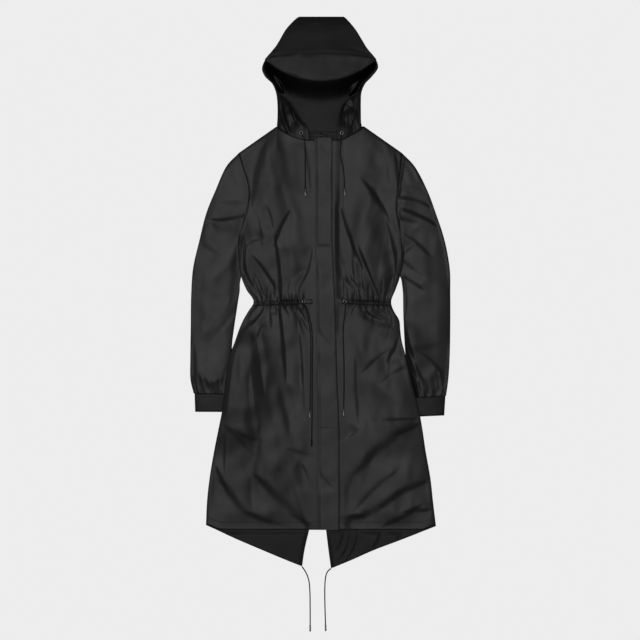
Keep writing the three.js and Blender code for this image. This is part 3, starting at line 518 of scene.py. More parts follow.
# Thickness of the cloth here and in the solids, and the gap between pieces
CLOTH = 1.1
CAD_CLOTH = 1.6
GAP = 0.3
SEAM_LAP = 0.4
CENTRE = 1
SHOULDER_TIP, UNDERARM, WAIST, WAIST_DROP = 349, 41, -16, 7
FRONT_HEM, SIDE_HEM = -593, -581
NECK_WIDTH, NECK_LEVEL, NECK_DROP, NECK_REACH = 109, 416, 34, 83
SLEEVE_LIFT = 9
BACK_COLUMNS = 80
# Level, then the side edge on the left and on the right
SIDES = [
    (349, -204.5, 205), (314, -194, 202.5), (284, -184, 198.5), (247, -179, 195), (219, -182.5, 192.5),
    (189, -188.5, 194.5), (147, -197.5, 200), (89, -201, 203.5), (41, -198, 199.5), (7, -184.5, 188),
    (-24, -166.5, 177), (-46, -180, 184), (-68, -192.5, 197), (-93, -203.5, 200), (-118, -212, 203),
    (-151, -224.5, 211.5), (-223, -237, 228), (-298, -246, 247.5), (-343, -255, 255.5), (-393, -265, 263),
    (-468, -277.5, 276), (-518, -283, 281.5), (-581, -286, 289),
]
VENT_TOP = -474
# Level, then the vent edge on the left and on the right
VENT = [(-690, -46.5, 27), (-643, -39.5, 20.5), (-593, -28, 14.5), (-532, -13, 7),
        (VENT_TOP, CENTRE, CENTRE)]
# Share of the width from side to centre, then the tail's hem on the left and on the right
TAIL_HEM = [(0, -581, -584), (0.32, -618, -618), (0.57, -643.5, -643), (0.81, -667, -670),
            (1, -684.5, -689.5)]
# Creases of the tails: start, end, sideways bow, width of the steep side, depth
TAIL_CREASES = [
    (58, -580, 38, -650, 6, -2.4, 2.8), (74, -580, 46, -672, 8, -2.4, 3.0),
    (94, -580, 58, -676, 10, -2.8, 3.2), (154, -580, 132, -640, 4, -3, 3.2),
    (212, -586, 192, -618, 0, -4, 1.8), (-88, -590, -70, -650, 0, 14, 1.0),
    (-170, -590, -140, -640, 0, 14, 1.0),
]


def sleeve_lift(x, y):
    """Height of the skirt side above the floor where a sleeve lies under it."""
    return SLEEVE_LIFT * ease(-55, -145, y) * (1 - ease(-312, -420, y)) * ease(115, 212, np.abs(x))


def body_level(level, u, top_shift):
    """Y of a body row: the top rows follow shoulder and neck, the waist rows sag toward the centre."""
    waist = -WAIST_DROP * (1 - u) * ease(60, 0, np.abs(level - WAIST))
    return level + top_shift * ease(140, SHOULDER_TIP, level) + waist


def shoulder_shift(reach, tip_reach):
    """Rise of the shoulder line above its tip, up to the neck point."""
    return (NECK_LEVEL - SHOULDER_TIP) * np.clip((tip_reach - reach) / (tip_reach - NECK_WIDTH), 0, 1)


def back_grid(side):
    """Outer points of a back half over level and share u from side edge to centre."""
    hand = ("left", "right").index(side)
    levels = np.concatenate([np.linspace(SHOULDER_TIP, -460, 95), np.linspace(-464, FRONT_HEM, 44)])
    level, u = np.meshgrid(levels, np.linspace(0, 1, BACK_COLUMNS), indexing="ij")
    centre = CENTRE - (hand - 0.5) * SEAM_LAP
    tip_reach = abs(SIDES[0][1 + hand])
    shift = shoulder_shift(tip_reach * (1 - u), tip_reach)
    tail = (read(TAIL_HEM, u)[hand] - FRONT_HEM) * ease(-420, FRONT_HEM, level)
    y = body_level(level, u, shift) + tail
    middle = np.where(y > VENT_TOP, centre, read(VENT, y)[hand] + centre - CENTRE)
    edge = read(SIDES, y)[hand]
    x = edge + (middle - edge) * u
    free = ease(-595, -607, y) * ease(0, 0.04, u) * ease(1, 0.96, u)
    fold = free * (4.0 + creases(TAIL_CREASES, x, y) + 0.8 * ripple(x, y, 90, 5 + hand))
    z = sleeve_lift(x, y) + CAD_CLOTH + np.maximum(fold, 0)
    return np.stack([x, y, z], axis=-1)


# Flat width and length in metres, flat area in square metres
BACK_CUT = {"left": (0.288, 1.102, 0.241), "right": (0.29, 1.107, 0.243)}
for side in ("left", "right"):
    points = back_grid(side)
    back = wall(f"back-{side}", points, below(points, CLOTH), [tail_backing, coated])
    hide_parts(f"back_{side}")
    width, length, area = BACK_CUT[side]


# Fronts: two coated panels from shoulder, neck and armhole to the straight hem, lying on the back.
# A waist cord gathers each, and the cloth creases toward its casing. They are level under the flap.
EDGE_HEIGHT, PUFF, ROLL_WIDTH = 3.5, 3.6, 42
RISE = 3.2
DEEPEST = 7
FRONT_COLUMNS = 112
FLAP_LINE = (-17, 51)
# Creases of both fronts, given like those of the tails. Those of the bodice end under the waist casing,
# and those of the skirt start there. The left front comes first
BODICE_CREASES = [
    (-140, 366, -170, 232, -4, 12, 3.4), (-44, 384, -26, 252, 4, 9, 2.6), (-92, 256, -72, 176, 4, 12, 1.2),
    (-78, 200, -112, 122, -4, -5.5, 3.4), (-112, 134, -98, -44, 5, -6, 5.2),
    (-156, 190, -146, 118, 2, 5, 1.2), (-144, 132, -188, 112, -8, 5, 1.6),
    (-188, 134, -184, 30, -5, 6, 5.0), (-187, 50, -144, -18, -3, 6, 3.4), (-132, 214, -118, 162, 2, 4, 1.8),
    (-168, 90, -112, 10, 3, 6, 3.2), (-115, 26, -116, -44, 0, 4, 2.6), (-160, 46, -129, -36, 0, 3.2, 2.4),
    (-163, 32, -141, -36, 0, 2.6, 2.0), (-21, 110, -38, 38, 3, 4.5, 1.9), (-33, 54, -73, -30, 0, 6, 3.0),
    (-54, 46, -81, 20, 0, 6, 1.6), (-77, 32, -89, -38, 0, 4, 2.2), (-84, 160, -33, 58, 0, 16, 1.8),
    (-68, 14, -70, -36, 0, 2.6, 1.4), (-52, 8, -56, -36, 0, 2.6, 1.4), (-125, 12, -126, -36, 0, 2.6, 1.6),
    (-150, 10, -146, -34, 0, 2.6, 1.6),
    # Right bodice
    (43, 262, 38, 150, 2, -8, 1.4), (40, 226, 84, 96, 2, 8, 5.6), (75, 136, 84, 34, 0, 6.5, 4.4),
    (78, 126, 105, 60, 0, 3.5, 2.2), (102, 70, 106, 12, 0, 4, 2.2), (106, 24, 119, -38, 0, 3.2, 2.6),
    (96, 112, 160, -44, 0, 4.5, 4.2), (106, 284, 174, 180, 4, -9, 4.2), (160, 200, 190, 156, 0, 8, 1.4),
    (163, 180, 188, 54, 6, 6, 3.4), (190, 104, 184, 26, 0, 5, 2.4), (161, 140, 145, 28, 0, 9, 0.9),
    (34, 176, 40, 82, 0, 4, 0.9), (40, 94, 59, 54, 0, 3.2, 1.4), (58, 64, 58, -34, 0, 3.5, 2.2),
    (44, 152, 70, 68, 0, 4, 1.6), (68, 82, 78, 28, 0, 4, 2.2), (74, 38, 94, 16, 0, 3, 1.8),
    (90, 26, 92, -38, 0, 2.8, 1.8), (103, 18, 102, -38, 0, 2.8, 1.6), (124, 14, 124, -38, 0, 2.8, 1.8),
    (157, 30, 158, -36, 0, 3, 1.6), (146, 40, 140, -36, 0, 3, 1.4), (180, 36, 166, -36, 0, 2.6, 2.0),
    (186, 44, 173, -34, 0, 2.6, 2.0), (160, 376, 170, 282, 0, 9, 2.0), (188, 356, 196, 262, 0, -7, 2.2),
    (66, 20, 68, -36, 0, 2.8, 1.6),
]
SKIRT_CREASES = [
    (-108, 0, -86, -230, 4, -6, 5.4), (-102, -184, -62, -310, 3, 12, 2.6), (-129, -4, -124, -84, 0, 6, 3.0),
    (-137, -70, -162, -116, -2, 4, 2.0), (-158, -92, -140, -240, 3, 9, 3.4),
    (-176, -210, -160, -350, -3, 8, 3.2), (-133, -22, -168, -74, 2, 4.5, 3.2),
    (-156, -58, -196, -94, 0, 8, 2.0), (-202, -130, -206, -230, 0, 9, 1.0),
    (-58, -64, -44, -236, 3, 6, 2.6), (-48, -194, -39, -306, 0, 9, 2.0), (-79, -22, -28, -104, 4, 3.6, 2.8),
    (-70, -24, -32, -80, 5, 3, 2.2), (-96, -24, -80, -56, 0, 3, 2.0), (-118, -24, -108, -48, 0, 3, 2.0),
    (-62, -26, -44, -54, 0, 2.6, 1.6), (-262, -436, -232, -512, 3, 8, 2.8),
    (-240, -486, -158, -574, -4, 17, 6.2), (-178, -554, -88, -584, -3, 9, 3.4),
    (-146, -476, -38, -582, 0, 19, 7.4), (-66, -562, -19, -584, -1, 7, 2.8),
    (-150, -356, -166, -540, -5, 14, 3.6), (-212, -346, -150, -368, -4, 6, 0.8),
    (-234, -338, -182, -392, 2, 8, 1.2), (-239, -360, -241, -450, 0, 4, 1.6),
    (-94, -440, -46, -556, 4, 12, 2.0), (-46, -430, -22, -484, 2, 5, 2.2),
    (-72, -394, -15, -408, 0, 9, 1.6), (-99, -250, -80, -340, 0, -12, 1.8),
    # Right skirt
    (46, -8, 46, -112, 0, 6, 3.2), (162, -148, 108, -196, -2, -8, 2.2), (204, -92, 168, -170, 3, -6, 3.4),
    (175, -150, 170, -200, 0, -7, 2.0), (208, -188, 156, -220, -2, -8, 2.2),
    (88, -154, 96, -320, -2, -9, 2.8), (108, -26, 121, -58, 0, 3.4, 2.6), (118, -50, 137, -62, 0, 3, 2.2),
    (136, -62, 156, -70, 0, 3, 2.0), (140, -30, 159, -52, 0, 3, 2.0), (166, -30, 179, -74, 0, 6, 2.2),
    (179, -58, 166, -106, 0, 6, 2.0), (88, -26, 78, -48, 0, 3, 1.8), (72, -28, 62, -66, 0, 3, 1.8),
    (160, -318, 236, -315, 0, 4, 1.2), (258, -322, 196, -352, 2, -6, 2.6),
    (226, -330, 104, -438, -6, -18, 3.4), (134, -402, 42, -524, -6, -20, 2.6),
    (184, -452, 94, -536, -6, -11, 2.6), (262, -474, 164, -530, -6, -12, 3.0),
    (196, -502, 80, -570, 6, -16, 5.0), (100, -560, 38, -566, 0, -9, 3.6),
    (264, -544, 218, -548, 0, -7, 2.6), (242, -538, 168, -579, 3, -9, 3.8),
    (50, -446, 46, -560, 0, -6, 1.8), (86, -350, 51, -372, 0, 5, 1.8), (126, -236, 150, -306, 0, 18, 1.4),
]


def roll_over(distance):
    """Quarter round of a folded edge: 0 at the edge, 1 at the roll's width."""
    return np.sqrt(1 - (1 - np.clip(distance / ROLL_WIDTH, 0, 1)) ** 2)


def no_lower(height, least):
    """The height kept above a least one, softly: 0.8 ln(exp(height / 0.8) + exp(least / 0.8))."""
    return 0.8 * np.logaddexp(height / 0.8, least / 0.8)


def front_height(hand, x, y, drop):
    """Top of a front: a soft roll at its free edges, then creases, gathers at the waist and unevenness. The
    creases' sum s is held to 7 tanh(s / 7). The seam at the armhole is a groove, and beside the flap the
    cloth dips. It lies higher over the left sleeve."""
    edge = read(SIDES, y)[hand]
    from_edge = np.abs(edge) - np.abs(x)
    from_side = from_edge + np.maximum(0, y - UNDERARM)
    from_flap = (FLAP_LINE[0] - x) if hand == 0 else (x - FLAP_LINE[1])
    near_neck = ease(NECK_WIDTH - 40, NECK_WIDTH, np.abs(x))
    puff = PUFF * roll_over(from_side) * (1 + near_neck * (roll_over(drop) - 1))
    cord_room = 24 * ease(150, 260, y)
    calm = ease(8, 60, from_flap - cord_room) * ease(0, 60, from_side) * ease(0, 60, drop)
    calm = calm * ease(0, 50, y - FRONT_HEM)
    inside = ease(-14, -4, from_flap) * ease(0, 16, from_side) * ease(0, 26, drop)
    flat_for_cords = 1 - 0.75 * ease(30, 6, from_flap) * ease(-8, -20, y)
    over_sleeve = 4 * ease(0, 14, from_side) * ease(150, 50, from_side)
    over_sleeve = over_sleeve * ease(-90, -140, y) * ease(-330, -280, y)
    armhole = -1.6 * np.exp(-(from_edge / 3.2) ** 2) * ease(UNDERARM + 60, UNDERARM + 180, y)
    beside_flap = -1.3 * hand * np.exp(-(from_flap / 7) ** 2)
    beside_flap = beside_flap * (ease(70, 130, y) + ease(-20, -40, y) * ease(-120, -90, y))
    waist = np.abs(y + 22)
    phase = (np.abs(x) - 40) / 17 + 0.35 * np.sin(x / 23)
    gather = 1.2 * np.cos(2 * np.pi * phase) * (1 - ease(4, 26, waist)) * ease(4, 30, from_flap)
    uneven = 2.2 * ripple(1.5 * x, 0.55 * y, 130, 11 + hand) + 0.5 * ripple(x, 0.7 * y, 44, 21 + hand)
    folds = creases(BODICE_CREASES, x, y) * ease(-26, -16, y)
    folds = folds + creases(SKIRT_CREASES, x, y) * ease(-19, -29, y)
    folds = DEEPEST * np.tanh(folds * flat_for_cords / DEEPEST)
    height = EDGE_HEIGHT + puff + calm * (RISE + uneven) + inside * (folds + gather)
    height = height + armhole + beside_flap + over_sleeve * (1 - hand)
    return sleeve_lift(x, y) + no_lower(height, EDGE_HEIGHT - 0.7)


def front_grid(side):
    """Outer points of a front over level and share u from side edge to flap line, then to the centre."""
    hand = ("left", "right").index(side)
    under_flap = 7 if side == "left" else 13
    shares = np.concatenate([np.linspace(0, 1, FRONT_COLUMNS), np.linspace(1, 2, under_flap)[1:]])
    level, u = np.meshgrid(np.linspace(SHOULDER_TIP, FRONT_HEM, 340), shares, indexing="ij")
    past = np.maximum(u - 1, 0)
    u = np.minimum(u, 1)
    centre = CENTRE + (hand - 0.5) * GAP
    tip_reach = abs(SIDES[0][1 + hand])
    reach = (tip_reach + (abs(FLAP_LINE[hand]) - tip_reach) * u) * (1 - past)
    fall = NECK_DROP * (1 - (1 - np.clip((NECK_WIDTH - reach) / NECK_REACH, 0, 1)) ** 2)
    shift = shoulder_shift(reach, tip_reach) - fall
    hem_shift = (SIDE_HEM - FRONT_HEM) * (1 - ease(0, 0.16, u)) * ease(-474, FRONT_HEM, level)
    y = body_level(level, u, shift) + hem_shift
    edge = read(SIDES, y)[hand]
    x = edge + (FLAP_LINE[hand] - edge) * u
    x = x + (centre - x) * past
    z = front_height(hand, x, y, SHOULDER_TIP + shift - y)
    return np.stack([x, y, z], axis=-1), (y - FRONT_HEM - hem_shift, x)


# Flat width and length in metres, flat area in square metres
FRONT_CUT = {"left": (0.287, 1.009, 0.225), "right": (0.288, 1.009, 0.227)}
fronts = {}
for side in ("left", "right"):
    points, seam = front_grid(side)
    fronts[side] = points
    front = wall(f"front-{side}", points, below(points, CLOTH), [coated_hem, backing], seam=seam)
    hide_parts(f"front_{side}")
    width, length, area = FRONT_CUT[side]


# Storm flap: a doubled strip of the coated cloth over the closure, sewn on along its left edge.
# A seam crosses it, and its free edge lies on the right front.
FLAP_CLOTH, FLAP_HEIGHT = 2, 9.4
FLAP_LEAST = 7.4
FLAP_TOP, FLAP_SEAM = 388, -338
FLAP_COLUMNS = 23
# Level, then the flap's left and right edge
FLAP = [(388, -13.5, 30), (132, -13, 30), (-20, -11, 37), (-200, -9.5, 42), (-343, -8.5, 48),
        (-593, -8.5, 48)]
FLAP_CREASES = [
    (-24, 118, 44, 116, 0, 6, 1.3), (-24, 40, 46, 38, 0, 12, 0.6), (-6, -92, 24, -130, 0, 6, 1.2),
    (-7, -444, 24, -482, 0, 6, 1.2), (24, 342, 4, 366, 0, 8, 0.6), (30, -200, 4, -236, 0, 8, 0.5),
]


def flap_grid(top, bottom, rows):
    """Outer points of the flap between two levels: level but for soft creases and a rolled edge."""
    inner_levels = np.linspace(top - 3, bottom + 3, rows)
    levels = np.concatenate([[top, top - 0.4], inner_levels, [bottom + 0.4, bottom]])
    shares = np.concatenate([[0, 0.008], np.linspace(0.04, 1, FLAP_COLUMNS - 2)])
    y, share = np.meshgrid(levels, shares, indexing="ij")
    place, left_edge, right_edge = np.array(FLAP, float).T
    left, right = np.interp(-y, -place, left_edge), np.interp(-y, -place, right_edge)
    x = left + (right - left) * share
    inner = ease(0, 0.16, share) * ease(1, 0.84, share)
    edge = -1.9 * (1 - ease(0, 0.25, share)) - 0.4 * (1 - ease(1, 0.93, share))
    cross_seam = -0.15 * np.exp(-((y - FLAP_SEAM) / 1.6) ** 2)
    folds = creases(FLAP_CREASES, x, y) + 0.35 * ripple(x, y, 60, 31)
    z = no_lower(FLAP_HEIGHT + 0.4 + edge + cross_seam + inner * folds, FLAP_LEAST)
    return np.stack([x, y, z], axis=-1), (np.minimum(x - left, right - x), y)


for flap_name, top, bottom, rows in (("front_flap", FLAP_TOP, FLAP_SEAM, 240),
                                     ("front_flap_lower", FLAP_SEAM - 0.05, FRONT_HEM, 90)):
    points, seam = flap_grid(top, bottom, rows)
    under = below(points, FLAP_CLOTH - 0.8)
    flap = wall(flap_name.replace("_", "-"), points, under, [coated_edge, backing], seam=seam)
    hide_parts(flap_name)
    length = (top - bottom) * MM
    mean_width = (points[:, -1, 0] - points[:, 0, 0]).mean() * MM


# Waist casings: narrow strips of the coated cloth for the waist cord. Each is sewn flat along both edges
# over a front, from the side to the eyelet's place, and the drawn cord puckers it.
CASING_WIDTH, CASING_CLOTH, CASING_ROWS = 12, 1.0, 15


def casing_grid(side):
    """Outer points of a casing: the front's own surface between two levels, moved out, with a round back
    and short puckers across it."""
    hand = ("left", "right").index(side)
    front = fronts[side][:, :FRONT_COLUMNS - 2]
    share = np.linspace(0, 1, CASING_ROWS)[:, None]
    rows = []
    for column in range(front.shape[1]):
        x, y, z = front[:, column].T
        u = column / (FRONT_COLUMNS - 1)
        top = WAIST - WAIST_DROP * (1 - u)
        bottom = WAIST - CASING_WIDTH - WAIST_DROP * (1 - u) * 0.86
        level = top + (bottom - top) * share[:, 0]
        rows.append(np.stack([np.interp(-level, -y, x), level, np.interp(-level, -y, z)], axis=-1))
    grid = np.stack(rows, axis=1)
    across = np.abs(grid[..., 0])
    pucker = 0.5 * np.cos(across / 1.9 + 0.8 * np.sin(across / 7)) + 0.5 * np.cos(across / 3.1)
    bulge = np.sin(np.pi * share) ** 0.6
    grid[..., 2] += GAP + 1.0 + bulge * (1.1 + 0.45 * pucker)
    distance = np.minimum(share, 1 - share) * CASING_WIDTH + 0 * across
    return grid, (distance, across)


for side, length in (("left", 0.185), ("right", 0.155)):
    points, seam = casing_grid(side)
    under = below(points, CASING_CLOTH)
    casing = wall(f"waist-casing-{side}", points, under, [coated_edge, backing], seam=seam)
    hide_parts(f"waist_tunnel_{side}")


# Sleeves: one piece each, set into the armhole and folded flat, gathered into the cuff.
# The armhole's curve fades along the first third. The lower layer lies on the floor.
# Outer edge's X and Y, then the inner edge's, from the armhole to the cuff
SLEEVES = {
    "left": [
        (-204.5, 349, -198, 41), (-234.5, 317, -199.5, 34), (-262, 257, -201.5, 22), (-285.5, 199, -202, 4),
        (-302.5, 132, -205.5, -18), (-318.5, 62, -210, -48), (-323.5, -8, -216, -88),
        (-324.5, -88, -221, -131), (-325.5, -163, -222, -183), (-325, -218, -222, -226),
        (-317, -252, -222, -253)],
    "right": [
        (205, 349, 199.5, 41), (235.5, 317, 202.5, 34), (267.5, 257, 205, 19), (290, 197, 207, -1),
        (311, 132, 207.5, -23), (324, 62, 208, -53), (325.5, -8, 209.5, -93), (325.5, -88, 212, -138),
        (324, -163, 215.5, -188), (320.5, -218, 218, -233), (315, -258, 219.5, -263)],
}
SLEEVE_CREASES = [
    (-184, 196, -272, 182, 6, -5, 3.6), (-302, 128, -262, 102, 0, 12, 1.6),
    (-236, -22, -284, -86, 0, 10, 1.6), (-218, -58, -258, -108, 0, 8, 1.4),
    (-212, 104, -222, -10, 0, -12, 2.0), (-232, 316, -204, 266, 0, 14, 1.4),
    (-246, 226, -200, 222, 0, 8, 1.0), (-318, -212, -301, -266, 0, 4, 2.2),
    (-302, -210, -289, -266, 0, 4, 2.0), (-285, -220, -271, -266, 0, 4, 2.2),
    (-269, -226, -256, -266, 0, 3.4, 2.0), (-251, -222, -246, -266, 0, 3.4, 1.8),
    (-238, -218, -234, -266, 0, 3.4, 1.8), (-315, -146, -312, -228, 0, 7, 1.8),
    (-226, -192, -229, -252, 0, 4, 1.6), (-294, 30, -300, -90, 0, 14, 1.4),
    (-262, 250, -292, 168, 0, 12, 1.2), (-246, -110, -250, -190, 0, 14, 1.2),
    # Right sleeve
    (190, 238, 292, 204, 10, -6, 5.0), (192, 214, 304, 162, 5, -6, 4.2), (192, 188, 234, 176, 0, 5, 2.2),
    (216, 142, 270, 98, 3, -6, 2.8), (232, 118, 205, 96, 0, 4, 2.0), (207, 106, 204, 62, 0, 5, 2.4),
    (210, 76, 252, 44, 0, 8, 2.2), (206, 42, 254, 10, 0, 5, 2.2), (211, 26, 213, -40, 0, 6, 2.4),
    (244, -148, 316, -236, 15, -9, 3.8), (228, -160, 282, -264, 0, -6, 3.0),
    (222, -146, 252, -212, 0, -5, 2.8), (230, -196, 264, -264, 0, -4, 2.6),
    (295, -200, 304, -266, 0, 4, 2.2), (270, -218, 279, -270, 0, 3.6, 2.2),
    (288, -220, 292, -270, 0, 3.6, 2.0), (250, -228, 259, -270, 0, 3.4, 2.0),
    (311, -204, 311, -264, 0, 3.4, 1.8), (298, 168, 322, 36, 4, 16, 2.2), (229, 322, 238, 292, 0, 8, 1.4),
    (213, 292, 224, 262, 0, 7, 1.2),
]
# The right sleeve slopes down to pass under the skirt's edge: level, then the slope's width
TUCK_HEIGHT = 2.4
TUCK = [(-320, 5), (-289, 7), (-235, 14), (-165, 20), (-105, 19), (-60, 14)]


def tube_wall(name, place, height, widths, steps, finishes, seam=None):
    """A flattened tube in rows: its upper layer goes from the outer edge to the inner one, and its lower
    layer comes back on the floor. place and height work on (row, share) grids, and seam gives a row's
    distance from the stitched ends."""
    rows = np.arange(len(widths))
    upper = (1 - np.cos(np.linspace(0, np.pi, steps))) / 2 * 0.35 + np.linspace(0, 1, steps) * 0.65
    lower = np.linspace(1, 0, steps // 3)
    row, share = np.meshgrid(rows, np.concatenate([upper, lower]), indexing="ij")
    inset = np.clip(CLOTH / widths, 0, 0.5)[:, None]
    inside = np.clip(share, inset, 1 - inset)
    x, y = place(row, share)
    inner_x, inner_y = place(row, inside)
    on_top = np.arange(share.shape[1]) < steps
    z = np.where(on_top, height(row, share, x, y), 0.0)
    outer = np.stack([x, y, z], axis=-1)
    inner = np.stack([inner_x, inner_y, np.where(on_top, z - CLOTH, CLOTH)], axis=-1)
    stitches = (np.where(on_top, seam(row), NO_STITCH), x) if seam else None
    return wall(name, outer, inner, finishes, ring=True, seam=stitches)


SLEEVE_ROWS, SLEEVE_STEPS = 220, 64
# Flat width and length in metres, flat area in square metres
SLEEVE_CUT = {"left": (0.27, 0.61, 0.118), "right": (0.27, 0.62, 0.12)}
for side in ("left", "right"):
    hand = ("left", "right").index(side)
    outward = -1 if side == "left" else 1
    edges = through(SLEEVES[side], np.linspace(0, len(SLEEVES[side]) - 1, SLEEVE_ROWS))
    along = np.linspace(0, 1, SLEEVE_ROWS)
    widths = np.hypot(edges[:, 0] - edges[:, 2], edges[:, 1] - edges[:, 3])
    armhole_ends = read(SIDES, np.array([SHOULDER_TIP, UNDERARM]))[hand]

    def place(row, share):
        """Straight across between the edges, plus the armhole's curve where it still shows."""
        armhole_y = SHOULDER_TIP + (UNDERARM - SHOULDER_TIP) * share
        chord = armhole_ends[0] + (armhole_ends[1] - armhole_ends[0]) * share
        curve = (read(SIDES, armhole_y)[hand] - chord) * (1 - ease(0, 0.35, along[row]))
        x = edges[row, 0] + (edges[row, 2] - edges[row, 0]) * share + curve - outward * SEAM_LAP
        return x, edges[row, 1] + (edges[row, 3] - edges[row, 1]) * share

    def height(row, share, x, y):
        """Soft rolls at both folds, then creases, cuff gathers and unevenness. The creases' sum s is held
        to 4.5 tanh(s / 4.5). The right sleeve slopes down to the tuck under the skirt's edge."""
        width = widths[row]
        rolled = roll_over(share * width) * roll_over((1 - share) * width)
        calm = ease(0, 0.45, share) * ease(1, 0.6, share)
        calm = calm * ease(0, 0.08, along[row]) * ease(1, 0.9, along[row])
        tucked = ease(-96, -150, y) * ease(8, -4, np.abs(x) - np.abs(read(SIDES, y)[hand]))
        inside = ease(0, 0.07, share) * ease(1, 0.93, share)
        inside = inside * ease(0, 0.03, along[row]) * (1 - 0.8 * tucked)
        uneven = 1.6 * ripple(x, y, 120, 41 + hand) + 0.4 * ripple(x, y, 44, 51 + hand)
        gather = 0.9 * np.cos(2 * np.pi * 5.3 * share + 1.2 * np.sin(9 * share)) * ease(0.93, 1, along[row])
        level = EDGE_HEIGHT + PUFF * rolled + calm * (1.5 * (1 - tucked) + uneven)
        level = level + inside * (4.5 * np.tanh(creases(SLEEVE_CREASES, x, y) / 4.5) + gather)
        if side == "right":
            beside = np.abs(x) - np.abs(read(SIDES, y)[hand])
            slope = read(TUCK, y)[0]
            raised = level + 6 * np.exp(-((beside - slope) / 36) ** 2)
            sloping = TUCK_HEIGHT + (raised - TUCK_HEIGHT) * np.clip(beside / slope, 0, 1)
            level = level + (sloping - level) * ease(-60, -105, y) * ease(-312, -285, y)
        return no_lower(level, 2.0)

    sleeve = tube_wall(f"sleeve-{side}", place, height, widths, SLEEVE_STEPS, [coated, backing])
    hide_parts(f"sleeve_{side}")
    width, length, area = SLEEVE_CUT[side]


# Cuffs: a plain doubled band of the coated cloth each, which the sleeve is gathered into. It is stitched
# along both edges and lies flat.
# Outer edge's X and Y, then the inner edge's, at the sleeve and at the hand
CUFFS = {
    "left": [(-314.5, -251.4, -220, -252.4), (-313, -298, -219.5, -298.5)],
    "right": [(313, -257.3, 220, -262.2), (310, -307, 221.5, -311)],
}
CUFF_HEIGHT, CUFF_DEPTH = 8.4, 46
CUFF_ROWS, CUFF_STEPS = 24, 48
for side in ("left", "right"):
    cuff_rows = np.linspace(0, 1, CUFF_ROWS)[:, None]
    last = CUFF_ROWS - 1
    top_ends, bottom_ends = np.array(CUFFS[side], float)
    ends = top_ends + (bottom_ends - top_ends) * cuff_rows
    cuff_widths = np.hypot(ends[:, 0] - ends[:, 2], ends[:, 1] - ends[:, 3])

    def cuff_place(row, share):
        """Straight across between the two edges."""
        return (ends[row, 0] + (ends[row, 2] - ends[row, 0]) * share,
                ends[row, 1] + (ends[row, 3] - ends[row, 1]) * share)

    def cuff_height(row, share, x, y):
        """Soft rolls at both folds, a little lower along the sewn ends, slightly uneven."""
        rolled = roll_over(share * cuff_widths[row]) * roll_over((1 - share) * cuff_widths[row])
        lip = ease(0, 2, row) * ease(last, last - 2, row)
        level = EDGE_HEIGHT + (CUFF_HEIGHT - EDGE_HEIGHT) * 0.7 * rolled
        return level + 0.5 * lip + 0.25 * ripple(x, y, 40, 61)

    def cuff_seam(row):
        """Distance from the nearer end of the band."""
        return np.minimum(row, last - row) / last * CUFF_DEPTH

    cuff = tube_wall(f"cuff-{side}", cuff_place, cuff_height, cuff_widths, CUFF_STEPS, [cuff_cloth, backing],
                     cuff_seam)
    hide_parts(f"cuff_{side}")


# Hood, centre strip: one length of the coated cloth, from the nape along the floor, round the crown and
# forward to the brim's seam. Its inner side shows in the nape and its outer side on the crown.
BRIM_TIP, BRIM_RISE, BRIM_REACH = 527, 52, 139
STRIP_ROWS, STRIP_COLUMNS = 210, 110
# Rows up to the first lie in the nape and are arched, and those past the second have the crown's dents
NAPE_ROWS, CROWN_ROW = 130, 150
# Y, height, left and right edge, fall of the edges below the middle, and how far they sweep back
HOOD_STRIP = [
    (402, 2.9, -50.6, 50.6, 0, 0), (418, 2.7, -50.6, 50.6, 0, 0), (450, 1.0, -50.6, 50.6, 0, 0),
    (530, 0.4, -50.6, 50.6, 0, 0), (600, 0.3, -50.6, 50.6, 0, 0), (645, 0.3, -50.6, 50.6, 0, 0),
    (664, 1.2, -50.6, 50.6, 0, 0),
    (681, 5, -50.4, 51.9, 0, 0), (688, 11, -50.5, 55, 0, 0),
    (689.5, 18, -52, 57, 0, 0), (688, 27, -55, 60, 1, 0), (682, 36, -62.5, 66.5, 2, 0),
    (657, 44.5, -85.5, 87.5, 4, 0), (627, 49.5, -103, 106, 5, 0), (611, 52.2, -116, 118, 5.5, 4),
    (604, 53.2, -127, 129, 5.8, 9), (597, 53, -138, 139.5, 6, 15),
]
CROWN_CREASES = [
    (-60, 640, -20, 660, 0, 14, 1.0), (86, 610, 112, 600, 0, 5, 1.0), (30, 640, 70, 660, 0, 14, 1.0),
]


def normals_of(grid):
    """Unit normals of a grid of points, from its two directions."""
    normal = np.cross(np.gradient(grid, axis=1), np.gradient(grid, axis=0))
    return normal / np.maximum(np.linalg.norm(normal, axis=-1, keepdims=True), 1e-9)


def arch(x, y):
    """How far the back of the hood is off the floor: a slope of 1.5 that sets in over 9 mm and follows the
    brim's edge, 13.5 ln(1 + exp(d / 9)), but 44 at most."""
    past = y - 497 - BRIM_RISE * (x / BRIM_REACH) ** 2
    return np.minimum(13.5 * np.logaddexp(0, past / 9), 44) * (1 - ease(590, 668, y))


